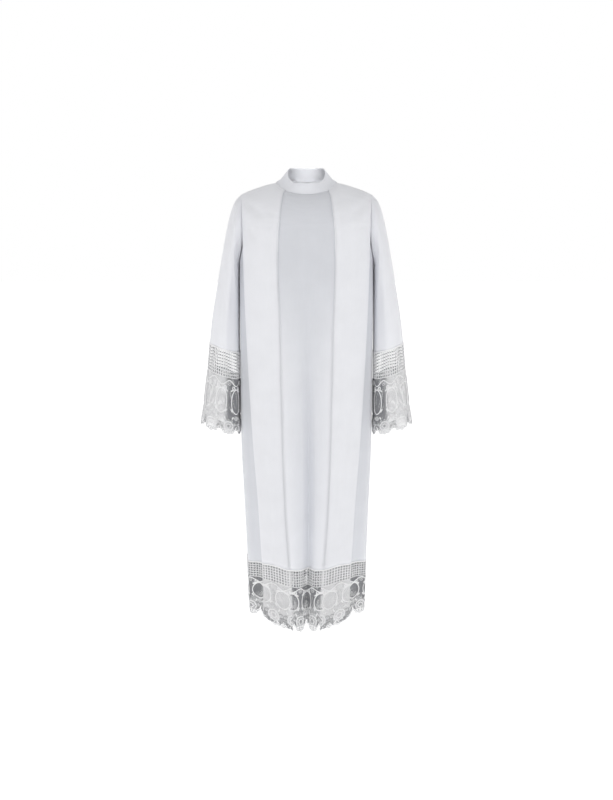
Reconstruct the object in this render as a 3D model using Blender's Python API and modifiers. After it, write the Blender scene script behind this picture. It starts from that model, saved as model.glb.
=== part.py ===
"""Alb robe: a long white vestment, hanging open and hollow as if it were worn.

The body is one round of cloth with four wide box pleats, two in front and two behind.
Deep lace finishes the hem and both cuffs, and a stand collar closes the neck.
Every piece is a thin wall. Its outer face is worked out here as a grid of points, and the
wall's thickness goes inwards from it. Where two pieces are sewn, their edges stay a seam apart.

Frame: metres, +Z up, the front faces -Y, the wearer's left is +X. The origin lies between
the shoulders, level with the neck, where the wearer's shoulders carry the robe.
"""
import math

import bmesh
import bpy
import numpy as np

COLLECTION_NAME = "alb_robe"
DIAGONAL_TIE = 1e-6

# Cloth and lace
CLOTH_WALL = 0.0012
LACE_WALL = 0.0012
COLLAR_WALL = 0.0016
SEAM_GAP = 0.0006
HIDDEN_SEAM = 0.0008

# Heights of the body's main lines
CHEST_Z = -0.130
UNDERARM_Z = -0.245
LACE_HEM_Z = -1.420

# Where the cloth ends and the lace ends, lowest at the middle of the front and of the back.
# across counts 0 at the middle, 1 and 2 at a pleat's folds and 3 at the side.
HEM_COLUMNS = ("across", "cloth_z", "lace_z")
HEM_LINE = (
    (0.0, -1.213, -1.420),
    (0.8, -1.213, -1.420),
    (1.5, -1.196, -1.398),
    (2.0, -1.191, -1.376),
    (3.0, -1.200, -1.368),
)

# Body sections, from the chest down. Half widths and depths are those of the recessed cloth,
# and the pleat edges are the distances of a pleat's two folds from the middle.
SQUARENESS = 2.6
BODY_COLUMNS = ("z", "half_width", "front_depth", "back_depth", "inner_fold", "outer_fold")
BODY_SECTIONS = (
    (-1.420, 0.190, 0.140, 0.138, 0.042, 0.136),
    (-1.205, 0.197, 0.138, 0.136, 0.049, 0.141),
    (-1.100, 0.201, 0.137, 0.135, 0.057, 0.147),
    (-0.980, 0.206, 0.136, 0.134, 0.063, 0.154),
    (-0.840, 0.210, 0.135, 0.132, 0.068, 0.165),
    (-0.660, 0.211, 0.134, 0.130, 0.072, 0.176),
    (-0.450, 0.211, 0.133, 0.128, 0.079, 0.186),
    (-0.240, 0.211, 0.130, 0.125, 0.089, 0.193),
    (-0.130, 0.209, 0.122, 0.118, 0.087, 0.1955),
)
CLOTH_LEVELS = (-1.100, -0.980, -0.840, -0.660, -0.450, -0.240, -0.130)
LACE_ROWS = 2
CHEST_TO_SHOULDER_STEPS = 5

# Box pleats: the front layer stands proud, and the cloth turns under at both folds
PLEAT_TUCK = 0.040
PLEAT_LIP = 0.004
TUCK_TAPER = 0.45
UNDER_LAYER_LIFT = 0.0022
FRONT_LAYER_LIFT = 0.0080
UNDER_LAYER_LIFT_AT_SEAM = 0.0012
FRONT_LAYER_LIFT_AT_SEAM = 0.0044

# Long valley down the middle of the front and of the back, deepest at the hem
VALLEY_TOP_Z = -0.260
VALLEY_DEPTH = 0.020
VALLEY_HALF_WIDTH = 0.042

# Soft upright folds of the side widths, which hang in waves below the elbow
SIDE_FOLD_TOP_Z = -0.400
SIDE_FOLD_HEIGHT = 0.006
SIDE_FOLDS = 1.5

# Neck opening, where the collar is sewn on: an oval that rises towards the back
NECK_HALF_WIDTH = 0.0920
NECK_FRONT_DEPTH = 0.0750
NECK_BACK_DEPTH = 0.0700
NECK_FRONT_Z = -0.0190
NECK_SIDE_Z = 0.0130
NECK_BACK_Z = 0.0280
NECK_SEAM = 0.0012
COLLAR_RISE_AT_SIDE = 0.0058
SHOULDER_SEAM = 0.0016
PLEAT_AT_NECK_ANGLE = math.radians(46.0)
SHOULDER_TIP = (0.2050, 0.0, -0.0240)
NECK_SHARE_OF_PLEAT = 0.37
FRONT_BEND = 0.70

# Collar band
COLLAR_TOP_HALF_WIDTH = 0.0760
COLLAR_TOP_FRONT_DEPTH = 0.0640
COLLAR_TOP_BACK_DEPTH = 0.0600
COLLAR_TOP_FRONT_Z = 0.0180
COLLAR_TOP_BACK_Z = 0.0640
COLLAR_COLUMNS = 32
COLLAR_FRONT_GAP_ANGLE = 0.006

# Sleeve sections, from the armhole down. Each is an oval ring that leans with the arm:
# its outer and inner points, its half depth and its middle's place fore and aft.
SLEEVE_SQUARENESS = 2.2
SLEEVE_COLUMNS = ("outer_x", "outer_z", "inner_x", "inner_z", "half_depth", "middle_y")
SLEEVE_SECTIONS = (
    (0.2260, -0.0410, 0.2185, -0.250, 0.084, 0.000),
    (0.2420, -0.0830, 0.2190, -0.262, 0.088, 0.000),
    (0.2560, -0.1460, 0.2190, -0.280, 0.091, -0.001),
    (0.2680, -0.2100, 0.2190, -0.306, 0.093, -0.002),
    (0.2840, -0.3000, 0.2190, -0.352, 0.092, -0.004),
    (0.3010, -0.4020, 0.2190, -0.430, 0.090, -0.007),
    (0.3110, -0.4860, 0.2190, -0.516, 0.088, -0.010),
)
CUFF_SECTIONS = (
    (0.3110, -0.4865, 0.2190, -0.5165, 0.088, -0.010),
    (0.3200, -0.5900, 0.2190, -0.6250, 0.087, -0.013),
    (0.3300, -0.6800, 0.2190, -0.7150, 0.087, -0.016),
    (0.3390, -0.7500, 0.2190, -0.7860, 0.087, -0.018),
)
SLEEVE_RING_POINTS = 20
ARMHOLE_SEAM = 0.0020
SLEEVE_FOLD_DEPTH = 0.005
SLEEVE_FOLD_ANGLE = math.radians(128.0)
SLEEVE_FOLD_HALF_ANGLE = math.radians(26.0)

# Colours, linear
CLOTH_COLOUR = (0.80, 0.81, 0.84, 1.0)
LACE_COLOUR = (0.84, 0.85, 0.87, 1.0)


def section_value(column, z):
    """A body size at the heights z, read between the rows of BODY_SECTIONS."""
    rows = np.array(BODY_SECTIONS)
    return np.interp(z, rows[:, 0], rows[:, BODY_COLUMNS.index(column)])


def fade_down(z, top_z):
    """0 at top_z and above, 1 at the hem, with a soft start."""
    t = np.clip((top_z - z) / (top_z - LACE_HEM_Z), 0.0, 1.0)
    return t * t * (3.0 - 2.0 * t)


def body_ring(across, z, facing):
    """Points of the body's recessed cloth at the heights z.

    across runs from 0 at the middle to 1 at a pleat's inner fold, 2 at its outer fold and
    3 at the side. facing is -1 for the front and 1 for the back.
    """
    half_width = section_value("half_width", z)
    depth = section_value("front_depth" if facing < 0 else "back_depth", z)
    inner = section_value("inner_fold", z)
    outer = section_value("outer_fold", z)
    x_flat = np.where(across < 1.0, across * inner, inner + (across - 1.0) * (outer - inner))
    x_flat = np.minimum(x_flat, outer)
    outer_angle = np.arcsin((outer / half_width) ** (SQUARENESS / 2.0))
    angle_flat = np.arcsin((np.maximum(x_flat, 0.0) / half_width) ** (SQUARENESS / 2.0))
    angle_side = outer_angle + (across - 2.0) * (math.pi / 2.0 - outer_angle)
    angle = np.where(across <= 2.0, angle_flat, angle_side)
    x = half_width * np.sin(angle) ** (2.0 / SQUARENESS)
    y = facing * depth * np.abs(np.cos(angle)) ** (2.0 / SQUARENESS)
    return np.stack([x, y, z + 0.0 * x], axis=-1)


def neck_ring(angle, half_width, front_depth, back_depth):
    """The oval of the neck in plan: angle 0 is the front, a right angle is the side."""
    depth = np.where(np.cos(angle) > 0.0, front_depth, back_depth)
    return half_width * np.sin(angle), -depth * np.cos(angle)


def neck_height(angle):
    """Height of the neck seam round the neck."""
    level = 0.5 * (NECK_FRONT_Z + NECK_BACK_Z)
    rise = 0.5 * (NECK_BACK_Z - NECK_FRONT_Z)
    return level - rise * np.cos(angle) + (NECK_SIDE_Z - level) * np.sin(angle) ** 2


def top_edge(across, facing):
    """The panels' top edge: round the neck, then out along the shoulder to the armhole."""
    in_pleat = np.clip((across - 1.0) / NECK_SHARE_OF_PLEAT, 0.0, 1.0)
    turn = np.where(across < 1.0, across * PLEAT_AT_NECK_ANGLE,
                    PLEAT_AT_NECK_ANGLE + in_pleat * (math.pi / 2.0 - PLEAT_AT_NECK_ANGLE))
    angle = turn if facing < 0 else math.pi - turn
    neck_x, neck_y = neck_ring(angle, NECK_HALF_WIDTH + NECK_SEAM,
                               NECK_FRONT_DEPTH + NECK_SEAM, NECK_BACK_DEPTH + NECK_SEAM)
    neck_z = neck_height(angle)
    along = np.clip((across - 1.0 - NECK_SHARE_OF_PLEAT) / (1.0 - NECK_SHARE_OF_PLEAT), 0.0, 1.0)
    x = neck_x + along * (SHOULDER_TIP[0] - neck_x)
    y = neck_y * (1.0 - along) + facing * 0.5 * SHOULDER_SEAM * (in_pleat >= 1.0)
    z = neck_z + along * (SHOULDER_TIP[2] - neck_z)
    return np.stack([x, y, z], axis=-1)


def body_surface(across, up, facing):
    """The recessed cloth of one half of the body.

    up is a height below CHEST_Z, and CHEST_Z plus 0 to 1 on the way from the chest
    over to the neck and shoulder.
    """
    ring = body_ring(across, np.minimum(up, CHEST_Z), facing)
    edge = top_edge(across, facing)
    way = np.clip(up - CHEST_Z, 0.0, 1.0)
    bend = FRONT_BEND + (1.0 - FRONT_BEND) * np.clip(across / 1.3, 0.0, 1.0)
    rise = (1.0 - bend) * way + bend * np.sin(way * math.pi / 2.0)
    lean = (1.0 - bend) * way + bend * (1.0 - np.cos(way * math.pi / 2.0))
    x = ring[..., 0] + (edge[..., 0] - ring[..., 0]) * way
    y = ring[..., 1] + (edge[..., 1] - ring[..., 1]) * lean
    z = ring[..., 2] + (edge[..., 2] - ring[..., 2]) * rise
    return np.stack([x, y, z], axis=-1)


def fold_relief(across, up, x):
    """How far the hanging folds lift the cloth: the middle valley and the waves at the sides."""
    z = np.minimum(up, CHEST_Z)
    valley = np.exp(-(np.abs(x) / VALLEY_HALF_WIDTH) ** 1.5)
    beyond = np.clip(across - 2.0, 0.0, 1.0)
    waves = np.sin(2.0 * math.pi * SIDE_FOLDS * beyond)
    relief = -VALLEY_DEPTH * fade_down(z, VALLEY_TOP_Z) * valley
    return relief + SIDE_FOLD_HEIGHT * fade_down(z, SIDE_FOLD_TOP_Z) * waves


def body_grid(across, up, lift, lift_at_seam, facing):
    """Points of a panel's outer face: the body's cloth, moved out by its layer's lift."""
    across, up = np.broadcast_arrays(np.asarray(across, float), np.asarray(up, float))
    mirror = np.stack([np.where(across < 0.0, -1.0, 1.0), 0.0 * across + 1.0, 0.0 * across + 1.0], axis=-1)
    across = np.abs(across)
    step = 1e-4
    back_u = np.where((across % 1.0 < step) & (across > 1.5), -step, step)
    back_v = np.where(up >= CHEST_Z + 1.0 - step, -step, step)
    here = body_surface(across, up, facing)
    sideways = (body_surface(across + back_u, up, facing) - here) / back_u[..., None]
    upwards = (body_surface(across, up + back_v, facing) - here) / back_v[..., None]
    normal = np.cross(sideways, upwards) * -facing
    normal /= np.maximum(np.linalg.norm(normal, axis=-1, keepdims=True), 1e-9)
    way = np.clip(up - CHEST_Z, 0.0, 1.0)
    layer = np.asarray(lift) * (1.0 - way) + np.asarray(lift_at_seam) * way
    relief = fold_relief(across, up, here[..., 0])
    return (here + normal * (layer + relief)[..., None]) * mirror


def add_wall(name, grid, thickness, material, closed=False):
    """A cloth wall: the grid's faces, given their thickness inwards by Solidify.

    Each square is split along its shorter diagonal, so that a piece and its mirror image match.
    """
    rows, columns = grid.shape[:2]
    build = bmesh.new()
    verts = [[build.verts.new(point) for point in row] for row in grid]
    for row in range(rows - 1):
        for column in range(columns if closed else columns - 1):
            after = (column + 1) % columns
            low, low_after = verts[row][column], verts[row][after]
            high, high_after = verts[row + 1][column], verts[row + 1][after]
            if (low.co - high_after.co).length < (low_after.co - high.co).length + DIAGONAL_TIE:
                build.faces.new((low, low_after, high_after))
                build.faces.new((low, high_after, high))
            else:
                build.faces.new((low, low_after, high))
                build.faces.new((low_after, high_after, high))
    mesh = bpy.data.meshes.new(name)
    build.to_mesh(mesh)
    build.free()
    mesh.shade_smooth()
    mesh.materials.append(material)
    wall = bpy.data.objects.new(name, mesh)
    bpy.data.collections[COLLECTION_NAME].objects.link(wall)
    solidify = wall.modifiers.new("thickness", "SOLIDIFY")
    solidify.thickness = thickness
    solidify.offset = -1.0
    solidify.use_even_offset = True
    return wall


def mirrored(grid):
    """The same piece on the wearer's other side, its columns turned so that it still faces out."""
    return grid[:, ::-1] * np.array([-1.0, 1.0, 1.0])


def facing_out(grid, facing):
    """Grids run from the middle outwards; behind, that way round faces in, so it is turned."""
    return grid if facing < 0 else grid[:, ::-1]


def cloth_rows():
    """Row positions for a cloth panel: its hem, the levels, then steps from the chest to its top edge."""
    steps = np.arange(1, CHEST_TO_SHOULDER_STEPS + 1) / CHEST_TO_SHOULDER_STEPS
    return np.concatenate([[hem_height("cloth_z", 1.5)], CLOTH_LEVELS, CHEST_Z + steps])[:, None]


def lace_rows():
    """Row positions for a lace panel, lowest first."""
    return np.linspace(hem_height("lace_z", 1.5), hem_height("cloth_z", 1.5), LACE_ROWS + 1)[:, None]


def hem_height(column, across):
    """Height at which the cloth or the lace ends, in the column's place round the body."""
    rows = np.array(HEM_LINE)
    return np.interp(np.abs(across), rows[:, 0], rows[:, HEM_COLUMNS.index(column)])


def to_hem(across, up, is_lace):
    """Bends the lowest row of a cloth panel, or all rows of a lace panel, to the hem's line."""
    up = up + 0.0 * across
    cloth_edge = hem_height("cloth_z", across[0])
    if is_lace:
        lace_edge = hem_height("lace_z", across[0])
        share = np.linspace(0.0, 1.0, len(up))[:, None]
        return lace_edge + (cloth_edge - SEAM_GAP - lace_edge) * share
    up[0] = cloth_edge
    return up


def share_of_pleat(distance, up):
    """A distance across a pleat, as a share of the pleat's width at each row.

    Above the chest the part that is turned under narrows, to keep the seams thin.
    """
    z = np.minimum(up, CHEST_Z)
    taper = 1.0 - TUCK_TAPER * np.clip(up - CHEST_Z, 0.0, 1.0)
    return taper * distance / (section_value("outer_fold", z) - section_value("inner_fold", z))


def centre_panel(up, is_lace, facing):
    """The recessed middle panel, whose edges run on under the pleats to their hidden folds."""
    hidden = 1.0 + share_of_pleat(PLEAT_TUCK - PLEAT_LIP - HIDDEN_SEAM, up)
    flat = np.ones_like(up)
    half = [hidden, 0.5 * (1.0 + hidden), flat * 1.0, flat * 0.62, flat * 0.28]
    across = np.hstack([-column for column in half] + [flat * 0.0] + half[::-1])
    return facing_out(body_grid(across, to_hem(across, up, is_lace), 0.0, 0.0, facing), facing)


def pleat_panel(up, is_lace, facing):
    """A box pleat of the +X side: lip, hidden fold, inner fold, front layer, and back again."""
    tuck = share_of_pleat(PLEAT_TUCK, up)
    lip = share_of_pleat(PLEAT_TUCK - PLEAT_LIP, up)
    flat = np.ones_like(up)
    low, under, front = 0.0, 1.0, 2.0
    inner_half = [(1.0 + lip, low), (1.0 + tuck, low), (1.0 + tuck, under), (1.0 + 0.5 * tuck, under),
                  (flat * 1.0, under), (flat * 1.0, front)]
    neck_corner = 1.0 + NECK_SHARE_OF_PLEAT
    middle = [(flat * stop, front) for stop in (0.5 * (1.0 + neck_corner), neck_corner, 0.5 * (neck_corner + 2.0))]
    outer_half = [(3.0 - across, layer) for across, layer in inner_half[::-1]]
    columns = inner_half + middle + outer_half
    across = np.hstack([column for column, layer in columns])
    layers = np.array([layer for column, layer in columns])
    lift = np.interp(layers, (low, under, front), (0.0, UNDER_LAYER_LIFT, FRONT_LAYER_LIFT))
    at_seam = np.interp(layers, (low, under, front),
                        (0.0, UNDER_LAYER_LIFT_AT_SEAM, FRONT_LAYER_LIFT_AT_SEAM))
    return facing_out(body_grid(across, to_hem(across, up, is_lace), lift, at_seam, facing), facing)


def armhole_drop(across, facing):
    """Height of the armhole's lower edge above each column of a side width."""
    z_guess = 0.5 * (CHEST_Z + UNDERARM_Z)
    y = body_ring(across, z_guess + 0.0 * across, facing)[..., 1]
    y_fold = body_ring(np.array([2.0]), np.array([CHEST_Z]), facing)[0, 1]
    return CHEST_Z + (UNDERARM_Z - CHEST_Z) * np.sqrt(np.clip(1.0 - (y / y_fold) ** 2, 0.0, 1.0))


def side_panel(up, is_lace):
    """A side width: from under the front pleat, round the side, to under the back pleat.

    The last two rows of the cloth are drawn up to the armhole's curve.
    """
    hidden = 2.0 - share_of_pleat(PLEAT_TUCK - PLEAT_LIP - HIDDEN_SEAM, up)
    flat = np.ones_like(up)
    visible = [flat * 2.0, flat * 2.25, flat * 2.5, flat * 2.75]
    across = np.hstack([hidden, 0.5 * (hidden + 2.0)] + visible + [flat * 3.0])
    halves = []
    for facing in (-1, 1):
        height = to_hem(across, up, is_lace)
        if not is_lace:
            height[-1] = armhole_drop(across[-1], facing)
            height[-2] = 0.5 * (height[-3] + height[-1])
        halves.append(body_grid(across, height, 0.0, 0.0, facing))
    return np.concatenate([halves[0], halves[1][:, -2::-1]], axis=1)


def collar_band():
    """The stand collar, open at the centre front where its two ends meet."""
    angle = np.linspace(COLLAR_FRONT_GAP_ANGLE, 2.0 * math.pi - COLLAR_FRONT_GAP_ANGLE, COLLAR_COLUMNS + 1)
    base_x, base_y = neck_ring(angle, NECK_HALF_WIDTH, NECK_FRONT_DEPTH, NECK_BACK_DEPTH)
    top_x, top_y = neck_ring(angle, COLLAR_TOP_HALF_WIDTH, COLLAR_TOP_FRONT_DEPTH, COLLAR_TOP_BACK_DEPTH)
    base_z = neck_height(angle) + NECK_SEAM + COLLAR_RISE_AT_SIDE * np.abs(np.sin(angle))
    base = np.stack([base_x, base_y, base_z], axis=-1)
    backness = 1.0 - (1.0 - np.sin(angle / 2.0) ** 2) ** 1.3
    top_z = COLLAR_TOP_FRONT_Z + (COLLAR_TOP_BACK_Z - COLLAR_TOP_FRONT_Z) * backness
    top = np.stack([top_x, top_y, top_z], axis=-1)
    middle = 0.5 * (base + top) * np.array([1.012, 1.012, 1.0])
    return np.stack([base, middle, top])


def armhole_ring(angle):
    """The sleeve's seam round the armhole: angle 0 at the shoulder, a right angle in front."""
    points = []
    across = np.linspace(2.0, 3.0, 21)
    for turn in angle:
        facing = -1 if math.sin(turn) >= 0.0 else 1
        high, wide = math.cos(turn), abs(math.sin(turn))
        way = max(0.0, 1.0 - math.asin(min(1.0, wide)) / (math.pi / 2.0)) if high >= 0.0 else 0.0
        point = body_grid(np.array([2.0]), np.array([CHEST_Z + way]), FRONT_LAYER_LIFT,
                          FRONT_LAYER_LIFT_AT_SEAM, facing)[0]
        if high < 0.0:
            z = CHEST_Z + (CHEST_Z - UNDERARM_Z) * high
            ring = body_grid(across, np.full(across.shape, z), FRONT_LAYER_LIFT * wide ** 4, 0.0, facing)
            y = point[1] * wide
            order = np.argsort(ring[:, 1])
            point = np.array([np.interp(y, ring[order, 1], ring[order, 0]), y, z])
        points.append(point + np.array([ARMHOLE_SEAM, 0.0, 0.0]))
    return np.array(points)


def sleeve_ring(section, angle):
    """One oval section of a sleeve: angle 0 is its outer point, a right angle its front."""
    size = dict(zip(SLEEVE_COLUMNS, section))
    outer = np.array([size["outer_x"], size["middle_y"], size["outer_z"]])
    inner = np.array([size["inner_x"], size["middle_y"], size["inner_z"]])
    out = np.cos(angle)
    front = np.sin(angle)
    round_off = (np.abs(out) ** SLEEVE_SQUARENESS + np.abs(front) ** SLEEVE_SQUARENESS) ** (
        -1.0 / SLEEVE_SQUARENESS)
    trough = np.exp(-((angle - SLEEVE_FOLD_ANGLE) / SLEEVE_FOLD_HALF_ANGLE) ** 2)
    half_depth = size["half_depth"] - SLEEVE_FOLD_DEPTH * trough
    ring = 0.5 * (outer + inner) + 0.5 * (outer - inner) * (out * round_off)[:, None]
    ring[:, 1] -= half_depth * front * round_off
    return ring


def sleeve_grid(sections, from_armhole):
    """A sleeve's or cuff's rings, lowest first, as the walls need them."""
    angle = np.arange(SLEEVE_RING_POINTS) * 2.0 * math.pi / SLEEVE_RING_POINTS
    rings = [armhole_ring(angle)] if from_armhole else []
    rings += [sleeve_ring(section, angle) for section in sections]
    return np.array(rings[::-1])[:, ::-1]


def plain_material(name, colour, roughness):
    """A matt material with one colour."""
    material = bpy.data.materials.new(name)
    material.use_nodes = True
    shader = material.node_tree.nodes["Principled BSDF"]
    shader.inputs["Base Color"].default_value = colour
    shader.inputs["Roughness"].default_value = roughness
    shader.inputs["Metallic"].default_value = 0.0
    return material


def add_pair(name, grid, thickness, material, closed=False):
    """A piece for each side: +X is the wearer's left."""
    add_wall(name + "_left", grid, thickness, material, closed)
    add_wall(name + "_right", mirrored(grid), thickness, material, closed)


def build_alb():
    for old in list(bpy.data.objects):
        bpy.data.objects.remove(old)
    collection = bpy.data.collections.new(COLLECTION_NAME)
    bpy.context.scene.collection.children.link(collection)
    cloth = plain_material("alb_cloth", CLOTH_COLOUR, 0.75)
    lace = plain_material("alb_lace", LACE_COLOUR, 0.80)
    whole, band = cloth_rows(), lace_rows()
    below_armhole = whole[:len(CLOTH_LEVELS) + 1]

    for facing, face in ((-1, "front"), (1, "back")):
        add_wall(face + "_centre", centre_panel(whole, False, facing), CLOTH_WALL, cloth)
        add_wall("hem_lace_" + face, centre_panel(band, True, facing), LACE_WALL, lace)
        add_pair(face + "_pleat", pleat_panel(whole, False, facing), CLOTH_WALL, cloth)
        add_pair("hem_lace_" + face + "_pleat", pleat_panel(band, True, facing), LACE_WALL, lace)
    add_pair("side", side_panel(below_armhole, False), CLOTH_WALL, cloth)
    add_pair("hem_lace_side", side_panel(band, True), LACE_WALL, lace)
    add_wall("collar", collar_band(), COLLAR_WALL, cloth)
    add_pair("sleeve", sleeve_grid(SLEEVE_SECTIONS, True), CLOTH_WALL, cloth, closed=True)
    add_pair("cuff_lace", sleeve_grid(CUFF_SECTIONS, False), LACE_WALL, lace, closed=True)


build_alb()
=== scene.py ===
"""Alb robe, finished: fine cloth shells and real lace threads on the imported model's form.

The cloth is a thin, smooth, plain-woven white. The body's box pleats are folded from it, and the
lace at the hem follows the same folds, layer for layer. The lace is made of its own threads.
"""
import math
from collections import namedtuple

import bpy
import numpy as np
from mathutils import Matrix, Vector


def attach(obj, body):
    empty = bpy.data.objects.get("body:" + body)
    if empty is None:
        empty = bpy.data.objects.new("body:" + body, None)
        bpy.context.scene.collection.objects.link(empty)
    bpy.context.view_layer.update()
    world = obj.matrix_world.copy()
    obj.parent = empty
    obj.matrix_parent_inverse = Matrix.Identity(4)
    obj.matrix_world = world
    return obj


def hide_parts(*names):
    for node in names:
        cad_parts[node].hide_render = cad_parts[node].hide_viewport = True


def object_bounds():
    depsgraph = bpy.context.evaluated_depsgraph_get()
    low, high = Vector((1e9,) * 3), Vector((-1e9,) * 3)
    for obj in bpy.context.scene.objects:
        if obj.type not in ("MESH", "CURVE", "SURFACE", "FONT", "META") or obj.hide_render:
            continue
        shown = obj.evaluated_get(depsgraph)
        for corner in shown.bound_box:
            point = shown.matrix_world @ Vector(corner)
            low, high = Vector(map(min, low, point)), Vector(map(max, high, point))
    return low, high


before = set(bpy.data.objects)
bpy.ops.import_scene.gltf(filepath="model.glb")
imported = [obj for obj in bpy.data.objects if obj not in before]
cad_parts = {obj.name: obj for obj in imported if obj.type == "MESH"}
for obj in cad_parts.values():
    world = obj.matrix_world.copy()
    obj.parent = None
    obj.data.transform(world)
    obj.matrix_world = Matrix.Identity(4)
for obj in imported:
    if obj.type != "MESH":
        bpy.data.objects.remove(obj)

CAD_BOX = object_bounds()

# ---------------------------------------------------------------- sizes, in metres

CHEST_Z = -0.130
UNDERARM_Z = -0.245
WAIST_Z = -0.600
CLOTH_HEM_Z = -1.200
LACE_FOLD_Z = -1.300
LACE_MIDDLE_Z = -1.310
LACE_HEM_Z = -1.420

# Where the cloth ends and the lace ends. across counts 0 at the middle of the front or back,
# 1 and 2 at a pleat's inner and outer folds, and 3 at the side.
HEM_COLUMNS = ("across", "cloth_z", "lace_z")
HEM_LINE = (
    (0.0, -1.2130, -1.4200),
    (0.8, -1.2130, -1.4200),
    (1.15, -1.2085, -1.4115),
    (1.5, -1.1950, -1.3980),
    (1.75, -1.1915, -1.3860),
    (2.0, -1.1910, -1.3760),
    (3.0, -1.2000, -1.3680),
)

# Body sections: the recessed cloth's half width and depths, and the pleats' two folds
SQUARENESS = 3.0
BODY_COLUMNS = ("z", "half_width", "front_depth", "back_depth", "inner_fold", "outer_fold")
BODY_SECTIONS = (
    (-1.420, 0.190, 0.140, 0.138, 0.042, 0.136),
    (-1.205, 0.197, 0.138, 0.136, 0.049, 0.141),
    (-1.100, 0.201, 0.137, 0.135, 0.057, 0.147),
    (-0.980, 0.206, 0.136, 0.134, 0.063, 0.154),
    (-0.840, 0.212, 0.135, 0.132, 0.068, 0.165),
    (-0.660, 0.213, 0.134, 0.130, 0.072, 0.176),
    (-0.450, 0.213, 0.133, 0.128, 0.079, 0.186),
    (-0.240, 0.2125, 0.130, 0.125, 0.089, 0.193),
    (-0.130, 0.209, 0.122, 0.118, 0.087, 0.1955),
)

# Neck and shoulders
NECK_HALF_WIDTH = 0.0920
NECK_FRONT_DEPTH = 0.0750
NECK_BACK_DEPTH = 0.0700
NECK_FRONT_Z = -0.0190
NECK_SIDE_Z = 0.0130
NECK_BACK_Z = 0.0280
NECK_SEAM = 0.0012
PLEAT_AT_NECK_ANGLE = math.radians(46.0)
SHOULDER_TIP = (0.2050, 0.0, -0.0240)
NECK_SHARE_OF_PLEAT = 0.37
FRONT_BEND = 0.70
FRONT_BEND_ENDS_ACROSS = 1.3
SHOULDER_BULGE = 0.0045
SHOULDER_BULGE_LEAN = 1.15
SHOULDER_BULGE_FLATNESS = 0.7

# Pleats: how far each tucks under its folds, and how far its layers stand off the recessed
# cloth, as the recessed, the hidden and the front layer
PLEAT_TUCK = 0.0462
PLEAT_LIP = 0.004
TUCK_TAPER = 0.45
HIDDEN_FOLD_RADIUS = 0.0010
EDGE_FOLD_RADIUS = 0.0014
LAYER_LIFTS = (0.0, 0.0024, 0.0084)
LAYER_LIFTS_AT_SEAM = (0.0, 0.0014, 0.0046)

# A pleat's edges drop at the fold, over a width: pressed crisp high up, and rolling over softly
# where the cloth hangs free. Pairs are high up and low down, and drops from the shoulder.
EDGE_LOOSENS = (0.10, 0.38)
EDGE_SOFTENS = (0.14, 0.66)
CRISP_EDGE_DROP = 0.0012
CRISP_EDGE_WIDTH = 0.0050
SOFT_ROLL_DROPS = (0.00512, 0.005632)
SOFT_ROLL_WIDTHS = (0.01092, 0.026)
UNDER_ROLL_DROP = 0.0020
RECESS_RISE = 0.0008
RECESS_RISE_WIDTH = 0.014
ROLL_LOST_AT_SEAM = 0.7

# The valley down the middle, and the crease in it. Its line is a place across, a sway and how
# fast it sways, in front and behind.
VALLEY_TOP_Z = -0.240
VALLEY_DEPTH = 0.023
VALLEY_HALF_WIDTH = 0.046
VALLEY_ROUNDNESS = 1.5
VALLEY_CREASE_DEPTH = 0.022
VALLEY_CREASE_HALF_WIDTH = 0.013
VALLEY_CREASE_BEGINS = (0.30, 0.90)
VALLEY_LINES = {-1: (0.005, 0.004, 5.0), 1: (0.0, 0.003, 4.0)}

# Where across the centre's cloth under a pleat gives way to the side's, and where the side's shows
PLEAT_PARTS_ACROSS = 1.6
SIDE_FROM_ACROSS = 1.9

# Folds of the side widths: place between the pleat's fold and the side, how far it follows the
# sway, half width, and height as a share of the depth
SIDE_FOLD_TOP_Z = -0.250
SIDE_FOLD_DEPTHS = (0.0015, 0.0070)
SIDE_FOLD_SWAY = 0.10
SIDE_FOLD_SWAY_RATE = 2.3
SIDE_FOLDS = ((0.20, 0.5, 0.16, -1.0), (0.52, 1.0, 0.15, 1.0), (0.82, -1.0, 0.13, -0.6))

# Faint waves that no hanging cloth is without: rates across and down, and a phase
UNEVEN_WAVES = ((19.0, 2.0, 0.0), (0.0, 5.3, 1.7), (31.0, -3.0, 0.6))
LAST_WAVE_SHARE = 0.6
UNEVENNESS = 0.0005
UNEVENNESS_BEGINS = (0.05, 0.40)

CLOTH_THICKNESS = 0.0008
COLLAR_THICKNESS = 0.0018

# Painted light of the cloth, for painted shade in its colour: from 0, greyest, for one thin layer
# to 1, white, for a pleat's three. Pairs run from the middle or the fold outwards, and the single
# layers' painted shade shows between two drops.
PAINTED_SHADE_CHANGES = (0.20, 0.62)
PLEAT_PAINTED_LIGHT = (0.84, 1.0)
PLEAT_PAINTED_LIGHT_BY = (1.0, 1.25)
CENTRE_PAINTED_LIGHT = (0.10, 0.84)
CENTRE_PAINTED_LIGHT_CURVE = 1.1
SIDE_PAINTED_LIGHT = (0.04, 0.84)
SIDE_PAINTED_LIGHT_BY = (2.25, 2.80)
SLEEVE_PAINTED_LIGHT = 0.96
COLLAR_PAINTED_LIGHT = 0.62

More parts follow.
